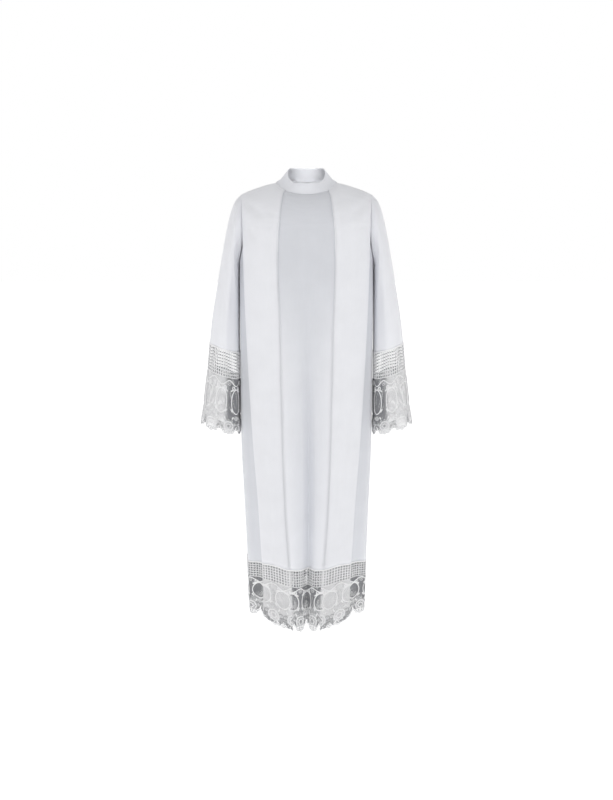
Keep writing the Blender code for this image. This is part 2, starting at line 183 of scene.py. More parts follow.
# Creases of the body that are pressed or pulled into it, as soft troughs (depth over 0) or
# ridges (depth under 0), from one point of the front or back elevation to another. They fade
# in and out over shares of their length.
CREASE_FADES_IN = (-0.15, 0.35)
CREASE_FADES_OUT = (0.60, 1.15)
CREASE_COLUMNS = ("facing", "x_from", "z_from", "x_to", "z_to", "half_width", "depth")
CREASES = (
    (-1, 0.198, -0.040, 0.118, -0.100, 0.009, 0.0034),
    (-1, 0.196, -0.078, 0.150, -0.160, 0.008, 0.0026),
    (-1, 0.192, -0.030, 0.120, -0.060, 0.010, -0.0014),
    (-1, 0.120, -0.020, 0.100, -0.120, 0.014, 0.0010),
    (-1, -0.197, -0.038, -0.116, -0.094, 0.010, 0.0032),
    (-1, -0.196, -0.085, -0.146, -0.172, 0.008, 0.0027),
    (-1, -0.190, -0.032, -0.130, -0.052, 0.010, -0.0013),
    (-1, -0.110, -0.030, -0.098, -0.140, 0.014, 0.0009),
    (-1, 0.012, -0.050, 0.020, -0.300, 0.012, 0.0011),
    (-1, -0.022, -0.120, -0.014, -0.360, 0.013, 0.0012),
    (-1, 0.040, -0.200, 0.034, -0.620, 0.014, -0.0016),
    (-1, -0.042, -0.240, -0.036, -0.640, 0.014, -0.0016),
    (-1, 0.052, -0.520, 0.044, -1.060, 0.012, -0.0014),
    (-1, -0.050, -0.560, -0.040, -1.100, 0.012, -0.0013),
    (-1, 0.020, -0.400, 0.022, -0.900, 0.010, 0.0012),
    (-1, -0.024, -0.480, -0.026, -0.980, 0.010, 0.0011),
    (-1, 0.150, -0.360, 0.128, -0.900, 0.022, 0.0010),
    (-1, -0.146, -0.420, -0.124, -0.960, 0.022, 0.0011),
    (-1, 0.112, -0.700, 0.096, -1.190, 0.020, -0.0011),
    (-1, -0.114, -0.640, -0.098, -1.180, 0.020, -0.0011),
    (1, 0.190, -0.052, 0.110, -0.130, 0.010, 0.0022),
    (1, -0.188, -0.060, -0.116, -0.140, 0.010, 0.0021),
    (1, 0.020, -0.040, 0.030, -0.330, 0.014, 0.0013),
    (1, -0.030, -0.070, -0.022, -0.400, 0.014, 0.0012),
    (1, 0.046, -0.300, 0.040, -0.800, 0.014, -0.0015),
    (1, -0.044, -0.340, -0.038, -0.860, 0.014, -0.0015),
    (1, 0.150, -0.400, 0.126, -1.000, 0.022, 0.0011),
    (1, -0.148, -0.360, -0.128, -0.940, 0.022, 0.0011),
)

# Sleeve and cuff sections, each an oval ring: x and z of its outer point, x and z of its inner
# point, its half depth, and y of its middle
SLEEVE_SQUARENESS = 2.2
INNER_SQUARENESS = 2.3
SLEEVE_SECTIONS = (
    (0.2260, -0.0410, 0.2150, -0.250, 0.084, 0.000),
    (0.2420, -0.0830, 0.2145, -0.262, 0.088, 0.000),
    (0.2560, -0.1460, 0.2145, -0.280, 0.091, -0.001),
    (0.2680, -0.2100, 0.2145, -0.306, 0.093, -0.002),
    (0.2840, -0.3000, 0.2145, -0.352, 0.092, -0.004),
    (0.3010, -0.4020, 0.2145, -0.430, 0.090, -0.007),
    (0.3110, -0.4860, 0.2145, -0.516, 0.088, -0.010),
)
CUFF_SECTIONS = (
    (0.3110, -0.4862, 0.2145, -0.5162, 0.088, -0.010),
    (0.3200, -0.5900, 0.2145, -0.6250, 0.087, -0.013),
    (0.3300, -0.6800, 0.2145, -0.7150, 0.087, -0.016),
    (0.3390, -0.7500, 0.2145, -0.7860, 0.087, -0.018),
)
ARMHOLE_SEAM = 0.0020
ARMHOLE_SINK = 0.0105
UNDERARM_DROP = 0.06
SLEEVE_FOLDS_BEGIN = (0.05, 0.60)

# Sleeve folds: angle 0 is the outer edge and a right angle the front. drop is the distance
# down from the shoulder. They fade in and out at their ends, and leave the inner side flat.
SLEEVE_FOLD_DRIFT = 3.0
SLEEVE_FOLD_DRIFT_RATE = 2.1
SLEEVE_FOLD_FADES_IN = (-0.03, 0.06)
SLEEVE_FOLD_FADES_OUT = (-0.10, 0.04)
SLEEVE_FOLD_LOST = 0.6
FLAT_INNER_HALF_ANGLE = 40.0
SLEEVE_FOLD_COLUMNS = ("angle", "angle_lower", "drop_from", "drop_to", "half_angle", "depth")
SLEEVE_FOLDS = (
    (128.0, 122.0, 0.16, 0.80, 17.0, 0.0040),
    (92.0, 98.0, 0.20, 0.74, 14.0, -0.0022),
    (60.0, 66.0, 0.30, 0.80, 12.0, 0.0018),
    (30.0, 36.0, 0.06, 0.40, 14.0, -0.0014),
    (98.0, 142.0, 0.07, 0.20, 9.0, -0.0036),
    (112.0, 120.0, 0.01, 0.15, 17.0, 0.0046),
    (52.0, 60.0, 0.01, 0.14, 12.0, 0.0016),
    (236.0, 242.0, 0.10, 0.80, 20.0, 0.0048),
    (278.0, 270.0, 0.20, 0.76, 16.0, -0.0022),
    (312.0, 306.0, 0.28, 0.80, 13.0, 0.0018),
    (262.0, 222.0, 0.07, 0.21, 9.0, -0.0032),
    (248.0, 240.0, 0.01, 0.15, 16.0, 0.0042),
)

# Lace threads: width, thickness, and painted light from 0 to 1, where the lace hangs singly and
# where it is backed: painted shade for the robe's shaded inside seen through one layer, with the
# scallop's lobes painted dark even when backed. The steps are lengths between a thread's points.
THREADS = {
    "ground": (0.0020, 0.0007, 0.20, 0.88),
    "grid": (0.0035, 0.0012, 0.80, 0.92),
    "fine": (0.0022, 0.0014, 0.86, 0.94),
    "lobe": (0.0022, 0.0014, 0.32, 0.38),
    "cord": (0.0036, 0.0020, 1.0, 1.0),
    "leaf": (0.0052, 0.0012, 1.0, 1.0),
    "stitched": (0.0034, 0.0016, 1.0, 1.0),
}
# How white the lace's wrong side is painted beside its right side where backed, on the hem and the
# cuff: painted shade of the robe's inside
HEM_WRONG_SIDE_LIGHT = 0.60
CUFF_WRONG_SIDE_LIGHT = 0.15
GROUND_PITCH = 0.0050
LONGEST_THREAD_STEP = 0.0060
STEP_SLACK = 1.05
FINE_STEP_SHARE = 0.8
CURVE_STEP = 0.0026
LONGEST_CURVE = 0.25
RING_STEP = 0.0040
CUT_STEP = 0.0012
FEWEST_POINTS = 3

# How far each thread's middle lies off the lace's own plane
NET_LIFT, BAR_LIFT, STITCH_LIFT = -0.0003, 0.0003, 0.0004
FILLING_LIFT, PETAL_LIFT, GARLAND_LIFT, CORD_LIFT = 0.0006, 0.0008, 0.0009, 0.0010

SLOPE_STEP = 1e-4
LACE_SLOPE_STEP = 2e-4
TINY = 1e-9


# ---------------------------------------------------------------- reading the tables

def smooth_read(table, names, column, at):
    """Reads a column at the places given by the first column, on a smooth curve through the rows."""
    rows = np.array(table)
    place, value = rows[:, 0], rows[:, names.index(column)]
    return smooth_curve(place, value, at)


def smooth_curve(place, value, at):
    """A smooth curve through the values, held level beyond its ends."""
    slope = np.gradient(value, place, axis=0)
    at = np.clip(at, place[0], place[-1])
    low = np.clip(np.searchsorted(place, at) - 1, 0, len(place) - 2)
    span = place[low + 1] - place[low]
    t = (at - place[low]) / span
    if value.ndim > 1:
        t, span = t[:, None], span[:, None]
    t2, t3 = t * t, t * t * t
    return ((2 * t3 - 3 * t2 + 1) * value[low] + (t3 - 2 * t2 + t) * span * slope[low]
            + (3 * t2 - 2 * t3) * value[low + 1] + (t3 - t2) * span * slope[low + 1])


def soft_step(value, start, end):
    """0 before start, 1 after end, and smooth between them."""
    t = np.clip((value - start) / (end - start), 0.0, 1.0)
    return t * t * (3.0 - 2.0 * t)


def mix(first, second, share):
    """A value between two others, a share of the way from the first."""
    return first + (second - first) * share


def bell(off, half_width):
    """1 in the middle of a fold, falling smoothly to nothing on both sides."""
    return np.exp(-(off / half_width) ** 2)


def unit(vectors):
    """The vectors, each made one long."""
    return vectors / np.maximum(np.linalg.norm(vectors, axis=-1, keepdims=True), TINY)


def body_size(column, z):
    return smooth_read(BODY_SECTIONS, BODY_COLUMNS, column, z)


def hem_height(column, across):
    return smooth_read(HEM_LINE, HEM_COLUMNS, column, np.abs(across))


# ---------------------------------------------------------------- the body's form

def body_ring(across, z, facing):
    """The body's recessed cloth at the heights z; facing is -1 in front and 1 behind."""
    half_width = body_size("half_width", z)
    depth = body_size("front_depth" if facing < 0 else "back_depth", z)
    inner, outer = body_size("inner_fold", z), body_size("outer_fold", z)
    x_flat = np.where(across < 1.0, across * inner, mix(inner, outer, across - 1.0))
    x_flat = np.clip(x_flat, 0.0, outer)
    outer_angle = np.arcsin((outer / half_width) ** (SQUARENESS / 2.0))
    angle_flat = np.arcsin((x_flat / half_width) ** (SQUARENESS / 2.0))
    angle_side = mix(outer_angle, math.pi / 2.0, across - 2.0)
    angle = np.where(across <= 2.0, angle_flat, angle_side)
    x = half_width * np.abs(np.sin(angle)) ** (2.0 / SQUARENESS)
    y = facing * depth * np.abs(np.cos(angle)) ** (2.0 / SQUARENESS)
    return np.stack([x, y, z + 0.0 * x], axis=-1)


def neck_ring(angle, half_width, front_depth, back_depth):
    """The neck's oval in plan: angle 0 is the front, a right angle is the side."""
    depth = np.where(np.cos(angle) > 0.0, front_depth, back_depth)
    return half_width * np.sin(angle), -depth * np.cos(angle)


def neck_height(angle):
    level = 0.5 * (NECK_FRONT_Z + NECK_BACK_Z)
    rise = 0.5 * (NECK_BACK_Z - NECK_FRONT_Z)
    return level - rise * np.cos(angle) + (NECK_SIDE_Z - level) * np.sin(angle) ** 2


def top_edge(across, facing):
    """The panels' top edge: round the neck, then out along the shoulder."""
    in_pleat = np.clip((across - 1.0) / NECK_SHARE_OF_PLEAT, 0.0, 1.0)
    turn = np.where(across < 1.0, across * PLEAT_AT_NECK_ANGLE,
                    mix(PLEAT_AT_NECK_ANGLE, math.pi / 2.0, in_pleat))
    angle = turn if facing < 0 else math.pi - turn
    neck_x, neck_y = neck_ring(angle, NECK_HALF_WIDTH + NECK_SEAM,
                               NECK_FRONT_DEPTH + NECK_SEAM, NECK_BACK_DEPTH + NECK_SEAM)
    along = np.clip((across - 1.0 - NECK_SHARE_OF_PLEAT) / (1.0 - NECK_SHARE_OF_PLEAT), 0.0, 1.0)
    x = mix(neck_x, SHOULDER_TIP[0], along)
    z = mix(neck_height(angle), SHOULDER_TIP[2], along)
    z = z + SHOULDER_BULGE * np.sin(math.pi * along ** SHOULDER_BULGE_LEAN) ** SHOULDER_BULGE_FLATNESS
    return np.stack([x, neck_y * (1.0 - along), z], axis=-1)


def body_surface(across, up, facing):
    """The recessed cloth: up is a height below CHEST_Z, then CHEST_Z plus 0 to 1 to the top edge."""
    ring = body_ring(across, np.minimum(up, CHEST_Z), facing)
    edge = top_edge(across, facing)
    way = np.clip(up - CHEST_Z, 0.0, 1.0)
    bend = mix(FRONT_BEND, 1.0, np.clip(across / FRONT_BEND_ENDS_ACROSS, 0.0, 1.0))
    rise = mix(way, np.sin(way * math.pi / 2.0), bend)
    lean = mix(way, 1.0 - np.cos(way * math.pi / 2.0), bend)
    blend = np.stack([way, lean, rise], axis=-1)
    return ring + (edge - ring) * blend


def crease_relief(points, side, facing):
    """Soft troughs and ridges along the lines of CREASES."""
    relief = np.zeros(points.shape[:-1])
    x, z = points[..., 0] * side, points[..., 2]
    for row in CREASES:
        crease = dict(zip(CREASE_COLUMNS, row))
        if crease["facing"] != facing:
            continue
        line = np.array([crease["x_to"] - crease["x_from"], crease["z_to"] - crease["z_from"]])
        length = np.hypot(*line)
        along = ((x - crease["x_from"]) * line[0] + (z - crease["z_from"]) * line[1]) / length
        off = ((x - crease["x_from"]) * line[1] - (z - crease["z_from"]) * line[0]) / length
        ends = soft_step(along / length, *CREASE_FADES_IN) * (
            1.0 - soft_step(along / length, *CREASE_FADES_OUT))
        relief -= crease["depth"] * ends * bell(off, crease["half_width"])
    return relief


def fold_relief(across, points, side, facing):
    """How far the hanging folds and creases lift the cloth."""
    x, z = points[..., 0] * side, points[..., 2]
    middle, waver, rate = VALLEY_LINES[facing]
    from_line = x - (middle + waver * np.sin(z * rate))
    valley = VALLEY_DEPTH * np.exp(-(np.abs(from_line) / VALLEY_HALF_WIDTH) ** VALLEY_ROUNDNESS)
    crease = VALLEY_CREASE_DEPTH * bell(from_line, VALLEY_CREASE_HALF_WIDTH)
    relief = -soft_step(-z, -VALLEY_TOP_Z, -LACE_HEM_Z) * valley
    relief -= soft_step(-z, *VALLEY_CREASE_BEGINS) * crease
    beyond = np.clip(across - 2.0, 0.0, 1.0)
    sway = SIDE_FOLD_SWAY * side * np.sin(z * SIDE_FOLD_SWAY_RATE + facing)
    folds = sum(height * bell(beyond - place - follows * sway, half_width)
                for place, follows, half_width, height in SIDE_FOLDS)
    hang = soft_step(-z, -SIDE_FOLD_TOP_Z, -LACE_HEM_Z)
    relief += mix(*SIDE_FOLD_DEPTHS, hang) * folds * (across > PLEAT_PARTS_ACROSS)
    first, second, last = (np.sin(over * x + down * z + phase) for over, down, phase in UNEVEN_WAVES)
    unevenness = UNEVENNESS * (first * second + LAST_WAVE_SHARE * last)
    relief += unevenness * soft_step(-z, *UNEVENNESS_BEGINS)
    return relief + crease_relief(points, side, facing)


def layer_lift(layer, across, up):
    """How far each layer of a pleat stands off the recessed cloth: 0 low, 1 under, 2 in front."""
    z = np.minimum(up, CHEST_Z)
    way = np.clip(up - CHEST_Z, 0.0, 1.0)
    lift = mix(np.interp(layer, (0, 1, 2), LAYER_LIFTS),
               np.interp(layer, (0, 1, 2), LAYER_LIFTS_AT_SEAM), way)
    width = body_size("outer_fold", z) - body_size("inner_fold", z)
    from_inner, from_outer = (across - 1.0) * width, (2.0 - across) * width
    soft, loose = soft_step(-z, *EDGE_SOFTENS), soft_step(-z, *EDGE_LOOSENS)
    crisp = CRISP_EDGE_DROP * (bell(from_outer, CRISP_EDGE_WIDTH)
                               + (1.0 - loose) * bell(from_inner, CRISP_EDGE_WIDTH))
    beside_fold = bell(from_inner, mix(*SOFT_ROLL_WIDTHS, soft))
    roll = mix(*SOFT_ROLL_DROPS, soft) * beside_fold
    under = UNDER_ROLL_DROP * soft * beside_fold * np.clip(layer, 0.0, 1.0)
    rise = RECESS_RISE * soft * bell(from_inner, RECESS_RISE_WIDTH) * (layer < 0.5)
    front = np.clip(layer - 1.0, 0.0, 1.0) * (1.0 - ROLL_LOST_AT_SEAM * way)
    return lift + rise - under - front * (crisp + roll)


def pleat_width(up):
    z = np.minimum(up, CHEST_Z)
    width = body_size("outer_fold", z) - body_size("inner_fold", z)
    return width / (1.0 - TUCK_TAPER * np.clip(up - CHEST_Z, 0.0, 1.0))


def body_points(base, offset, layer, up, side, facing):
    """Points of the body's cloth. base and offset, in metres, place them across a pleat."""
    values = [np.asarray(value, float) for value in (base, offset, layer, up)]
    base, offset, layer, up = np.broadcast_arrays(*values)
    across = base + offset / pleat_width(up)
    step_u = np.where((across % 1.0 < SLOPE_STEP) & (across > 1.5), -SLOPE_STEP, SLOPE_STEP)
    step_v = np.where(up >= CHEST_Z + 1.0 - SLOPE_STEP, -SLOPE_STEP, SLOPE_STEP)
    here = body_surface(across, up, facing)
    sideways = (body_surface(across + step_u, up, facing) - here) / step_u[..., None]
    upwards = (body_surface(across, up + step_v, facing) - here) / step_v[..., None]
    normal = unit(np.cross(sideways, upwards) * -facing)
    lift = layer_lift(layer, across, up) + fold_relief(across, here, side, facing)
    return (here + normal * lift[..., None]) * np.array([side, 1.0, 1.0])


# ---------------------------------------------------------------- the way round the body

# One place along the cloth as it goes round: the place it counts from, as across, and metres
# from there; the layer; in front or behind; and the piece it belongs to
Station = namedtuple("Station", "base offset layer facing piece")

# Steps along each run of cloth and round each fold
CENTRE_STEPS, PLEAT_STEPS, SIDE_STEPS = 16, 26, 24
TUCK_STEPS, LIP_STEPS, HIDDEN_STEPS = 6, 2, 7
EDGE_FOLD_STEPS, HIDDEN_FOLD_STEPS = 6, 4


def run(start, end, steps, layer, piece):
    """Stations along a flat run of cloth, from one (base, offset) to another."""
    shares = [k / steps for k in range(steps + 1)]
    return [Station(mix(start[0], end[0], share), mix(start[1], end[1], share), layer, -1, piece)
            for share in shares]


def fold(base, outwards, offset, radius, layers, steps):
    """Stations round a fold between two layers; outwards is the side it bulges to. The first is
    left out, because the run before it ends there."""
    stations = []
    for k in range(1, steps + 1):
        turn = math.pi * k / steps
        layer = mix(*layers, 0.5 * (1.0 - math.cos(turn)))
        stations.append(Station(base, offset + outwards * radius * math.sin(turn), layer, -1, "pleat"))
    return stations


def half_way_round():
    """Stations of the cloth from the centre front to the side, and on to the centre back."""
    tuck, lip, tight, edge = PLEAT_TUCK, PLEAT_LIP, HIDDEN_FOLD_RADIUS, EDGE_FOLD_RADIUS
    front = run((0.0, 0.0), (1.0, 0.0), CENTRE_STEPS, 0, "centre")
    front += run((1.0, 0.0), (1.0, tuck - lip), TUCK_STEPS, 0, "centre")[1:]
    pleat = run((1.0, tuck - lip), (1.0, tuck - tight), LIP_STEPS, 0, "pleat")
    pleat += fold(1.0, 1, tuck - tight, tight, (0, 1), HIDDEN_FOLD_STEPS)
    pleat += run((1.0, tuck - tight), (1.0, edge), HIDDEN_STEPS, 1, "pleat")[1:]
    pleat += fold(1.0, -1, edge, edge, (1, 2), EDGE_FOLD_STEPS)
    pleat += run((1.0, edge), (2.0, -edge), PLEAT_STEPS, 2, "pleat")[1:]
    pleat += fold(2.0, 1, -edge, edge, (2, 1), EDGE_FOLD_STEPS)
    pleat += run((2.0, -edge), (2.0, tight - tuck), HIDDEN_STEPS, 1, "pleat")[1:]
    pleat += fold(2.0, -1, tight - tuck, tight, (1, 0), HIDDEN_FOLD_STEPS)
    pleat += run((2.0, tight - tuck), (2.0, lip - tuck), LIP_STEPS, 0, "pleat")[1:]
    side = run((2.0, lip - tuck), (2.0, 0.0), TUCK_STEPS, 0, "side")
    side += run((2.0, 0.0), (3.0, 0.0), SIDE_STEPS, 0, "side")[1:]
    ahead = front + pleat + side
    return ahead, [station._replace(facing=1) for station in ahead[::-1]]


AHEAD, BEHIND = half_way_round()
STATIONS = AHEAD + BEHIND[1:]
STATION_BASE = np.array([station.base for station in STATIONS])
STATION_OFFSET = np.array([station.offset for station in STATIONS])
STATION_LAYER = np.array([station.layer for station in STATIONS], float)
SIDE_STATION = len(AHEAD) - 1


def measure_round(z):
    """Distance of each station from the centre front, measured along the cloth at a height."""
    halves = ((slice(None, SIDE_STATION + 1), -1), (slice(SIDE_STATION + 1, None), 1))
    plan = np.concatenate([body_points(STATION_BASE[half], STATION_OFFSET[half], STATION_LAYER[half],
                                       z, 1, facing) for half, facing in halves])
    return np.concatenate([[0.0], np.cumsum(np.linalg.norm(np.diff(plan, axis=0), axis=1))])


def station_range(piece, facing):
    """First and last station of a piece, shared with its neighbours."""
    found = [k for k, station in enumerate(STATIONS)
             if station.piece == piece and (piece == "side" or station.facing == facing)]
    return found[0], found[-1]


# ---------------------------------------------------------------- meshes

def finish_mesh(name, vertices, faces, materials, uv, painted_light):
    """A smooth mesh object in place, with its cloth coordinates in metres and its painted light, the
    share of white against painted shade in its colour.
    """
    mesh = bpy.data.meshes.new(name)
    faces = np.asarray(faces, np.int32)
    mesh.vertices.add(len(vertices))
    mesh.vertices.foreach_set("co", np.asarray(vertices, np.float32).ravel())
    mesh.loops.add(faces.size)
    mesh.loops.foreach_set("vertex_index", faces.ravel())
    mesh.polygons.add(len(faces))
    mesh.polygons.foreach_set("loop_start", np.arange(0, faces.size, faces.shape[1], dtype=np.int32))
    mesh.polygons.foreach_set("use_smooth", np.ones(len(faces), bool))
    mesh.update(calc_edges=True)
    layer = mesh.uv_layers.new(name="cloth")
    layer.data.foreach_set("uv", np.asarray(uv, np.float32)[faces.ravel()].ravel())
    attribute = mesh.attributes.new("painted_light", "FLOAT", "POINT")
    attribute.data.foreach_set("value", np.asarray(painted_light, np.float32))
    for material in materials:
        mesh.materials.append(material)
    piece = bpy.data.objects.new(name, mesh)
    bpy.context.scene.collection.objects.link(piece)
    return piece


def grid_faces(rows, columns, closed=False):
    """Faces of a grid of points, row by row."""
    row = np.arange(rows - 1)[:, None]
    column = np.arange(columns if closed else columns - 1)[None, :]
    after = (column + 1) % columns
    corners = [row * columns + column, row * columns + after,
               (row + 1) * columns + after, (row + 1) * columns + column]
    return np.stack([c + 0 * corners[0] for c in corners], axis=-1).reshape(-1, 4)


def cloth_piece(name, grid, uv, painted_cloth_light, thickness, materials, turned=False, closed=False):
    """A thin shell on a grid of points, with its thickness inwards."""
    rows, columns = grid.shape[:2]
    faces = grid_faces(rows, columns, closed)
    if turned:
        faces = faces[:, ::-1]
    piece = finish_mesh(name, grid.reshape(-1, 3), faces, materials, uv.reshape(-1, 2), painted_cloth_light.ravel())
    solidify = piece.modifiers.new("cloth thickness", "SOLIDIFY")
    solidify.thickness = thickness
    solidify.offset = -1.0
    apply_modifiers(piece)
    return piece


def apply_modifiers(piece):
    """Applies a piece's modifiers, so that its mesh is final."""
    bpy.ops.object.select_all(action="DESELECT")
    piece.select_set(True)
    bpy.context.view_layer.objects.active = piece
    for modifier in list(piece.modifiers):
        bpy.ops.object.modifier_apply(modifier=modifier.name)
    piece.select_set(False)


def declare(piece, nodes):
    """Puts a sheet on the model in place of the parts it stands for: hides those parts and hangs the
    sheet from the root body.
    """
    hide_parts(*nodes)
    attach(piece, "root")


# ---------------------------------------------------------------- cloth of the body

CLOTH_ROWS_BELOW_CHEST = 76
CLOTH_ROWS_ABOVE_CHEST = 18


def cloth_heights(across):
    """Rows of a body panel, from its hem up over the shoulder, for each column."""
    hem = hem_height("cloth_z", across)
    share = np.linspace(0.0, 1.0, CLOTH_ROWS_BELOW_CHEST)[:, None]
    below = mix(hem, CHEST_Z, share)
    above = CHEST_Z + np.linspace(0.0, 1.0, CLOTH_ROWS_ABOVE_CHEST + 1)[1:, None]
    return np.concatenate([below, above + 0.0 * across])


def painted_cloth_light_of(layer, across, z):
    """Painted light of the cloth, from 0, greyest, to 1, white. Painted shade lies on single
    layers: over the whole recessed middle high up, deepening towards the middle valley lower
    down, and on the side widths beside the pleats' folds; a little on the pleats lower down.
    """
    lower = soft_step(-z, *PAINTED_SHADE_CHANGES)
    folded = mix(*PLEAT_PAINTED_LIGHT, soft_step(across, *PLEAT_PAINTED_LIGHT_BY))
    pleat = np.clip(layer, 0.0, 1.0) * mix(1.0, folded, lower)
    out = np.clip(across, 0.0, 1.0) ** CENTRE_PAINTED_LIGHT_CURVE
    middle = (across < PLEAT_PARTS_ACROSS) * lower * mix(*CENTRE_PAINTED_LIGHT, out)
    side = (across >= SIDE_FROM_ACROSS) * mix(*SIDE_PAINTED_LIGHT, soft_step(across, *SIDE_PAINTED_LIGHT_BY))
    return np.maximum(pleat, np.maximum(middle, side))


def body_panel(name, piece, facing, side, nodes, materials):
    """A centre or pleat panel of the body's cloth. A centre panel is one half and its mirror."""
    first, last = station_range(piece, facing)
    base, offset, layer = (values[first:last + 1]
                           for values in (STATION_BASE, STATION_OFFSET, STATION_LAYER))
    up = cloth_heights(base + offset / pleat_width(np.array(CLOTH_HEM_Z)))
    across = base + offset / pleat_width(up)
    grid = body_points(base, offset, layer, up, side, facing)
    # Painted shade on the panel, from the painted light of each point
    painted_cloth_light = painted_cloth_light_of(layer + 0.0 * up, across, np.minimum(up, CHEST_Z))
    uv = np.stack(np.broadcast_arrays(ROUND_AT_WAIST[first:last + 1] * side, up), axis=-1)
    if piece == "centre":
        shared = slice(1, None) if facing < 0 else slice(None, -1)
        mirrored = (body_points(base, offset, layer, up, -side, facing), uv * (-1.0, 1.0), painted_cloth_light)
        joined = []
        for half, other in zip((grid, uv, painted_cloth_light), mirrored):
            other = other[:, shared][:, ::-1]
            joined.append(np.concatenate((other, half) if facing < 0 else (half, other), axis=1))
        grid, uv, painted_cloth_light = joined
    panel = cloth_piece(name, grid, uv, painted_cloth_light, CLOTH_THICKNESS, materials, turned=side < 0)
    declare(panel, nodes)
    return panel


def armhole_drop(across, facing):
    """Height of the armhole's lower edge above a column of a side width."""
    z_guess = 0.5 * (CHEST_Z + UNDERARM_Z)
    y = body_ring(across, z_guess + 0.0 * across, facing)[..., 1]
    y_fold = body_ring(np.array([2.0]), np.array([CHEST_Z]), facing)[0, 1]
    return CHEST_Z + (UNDERARM_Z - CHEST_Z) * np.sqrt(np.clip(1.0 - (y / y_fold) ** 2, 0.0, 1.0))


def side_panel(name, side, nodes, materials):
    """A side width, round from under the front pleat to under the back pleat."""
    first, last = station_range("side", -1)
    share = np.linspace(0.0, 1.0, CLOTH_ROWS_BELOW_CHEST)[:, None]
    grids, uvs, painted_cloth_lights = [], [], []
    for facing, low, high in ((-1, first, SIDE_STATION), (1, SIDE_STATION + 1, last)):
        base, offset = STATION_BASE[low:high + 1], STATION_OFFSET[low:high + 1]
        across = base + offset / pleat_width(np.array(CLOTH_HEM_Z))
        up = mix(hem_height("cloth_z", across), armhole_drop(across, facing), share)
        place = ROUND_AT_WAIST[low:high + 1] * side
        grids.append(body_points(base, offset, 0.0, up, side, facing))
        uvs.append(np.stack(np.broadcast_arrays(place, up), axis=-1))
        # Painted shade on the side width, from the painted light of each point
        painted_cloth_lights.append(painted_cloth_light_of(0.0 * up, np.broadcast_to(across, up.shape), up))
    grid, uv, painted_cloth_light = (np.concatenate(halves, axis=1) for halves in (grids, uvs, painted_cloth_lights))
    panel = cloth_piece(name, grid, uv, painted_cloth_light, CLOTH_THICKNESS, materials, turned=side < 0)
    declare(panel, nodes)
    return panel


# ---------------------------------------------------------------- sleeves

SIDE_WIDTH_POINTS = 41
SLEEVE_RING_POINTS = 96
SLEEVE_ROWS = 72


def armhole_ring(angle):
    """The sleeve's seam: angle 0 at the shoulder, a right angle in front."""
    points = []
    across = np.linspace(2.0, 3.0, SIDE_WIDTH_POINTS)
    for turn in angle:
        facing = -1 if math.sin(turn) >= 0.0 else 1
        high, wide = math.cos(turn), abs(math.sin(turn))
        way = max(0.0, 1.0 - math.asin(min(1.0, wide)) / (math.pi / 2.0)) if high >= 0.0 else 0.0
        sink = ARMHOLE_SINK * wide ** 2
        edge = body_surface(np.array([2.0]), np.array([CHEST_Z + way]), facing)[0]
        lift = mix(LAYER_LIFTS[2], LAYER_LIFTS_AT_SEAM[2], way) - sink
        point = edge + np.array([0.0, facing * lift * wide, lift * (1.0 - wide)])
        if high < 0.0:
            z = CHEST_Z + (CHEST_Z - UNDERARM_Z) * high
            ring = body_surface(across, np.full(across.shape, z), facing)
            y = point[1] * wide
            order = np.argsort(ring[:, 1])
            point = np.array([np.interp(y, ring[order, 1], ring[order, 0]), y, z])
        points.append(point + np.array([ARMHOLE_SEAM, 0.0, 0.0]))
    return np.array(points)


def oval_ring(outer_x, outer_z, inner_x, inner_z, half_depth, middle_y, angle):
    """Points of a leaning oval: angle 0 is its outer point, a right angle its front."""
    out, front = np.cos(angle), np.sin(angle)
    squareness = np.where(out < 0.0, INNER_SQUARENESS, SLEEVE_SQUARENESS)
    round_off = (np.abs(out) ** squareness + np.abs(front) ** squareness) ** (-1.0 / squareness)
    along = out * round_off
    x = 0.5 * (outer_x + inner_x) + 0.5 * (outer_x - inner_x) * along
    z = 0.5 * (outer_z + inner_z) + 0.5 * (outer_z - inner_z) * along
    return np.stack([x, middle_y - half_depth * front * round_off, z], axis=-1)


def sleeve_relief(angle, drop, side):
    """Soft folds that run down a sleeve, a little different on each side."""
    degrees = np.degrees(angle) % 360.0
    relief = np.zeros(np.broadcast(degrees, drop).shape)
    for number, row in enumerate(SLEEVE_FOLDS):
        crease = dict(zip(SLEEVE_FOLD_COLUMNS, row))
        start, end = crease["drop_from"], crease["drop_to"]
        down = np.clip((drop - start) / (end - start), 0.0, 1.0)
        drift = SLEEVE_FOLD_DRIFT * math.sin(SLEEVE_FOLD_DRIFT_RATE * number + side)
        centre = mix(crease["angle"], crease["angle_lower"], down) + drift
        off = (degrees - centre + 180.0) % 360.0 - 180.0
        begun = soft_step(drop - start, *SLEEVE_FOLD_FADES_IN)
        lost = SLEEVE_FOLD_LOST * soft_step(drop - end, *SLEEVE_FOLD_FADES_OUT)
        relief -= crease["depth"] * begun * (1.0 - lost) * bell(off, crease["half_angle"])
    return relief * (1.0 - bell(degrees - 180.0, FLAT_INNER_HALF_ANGLE))


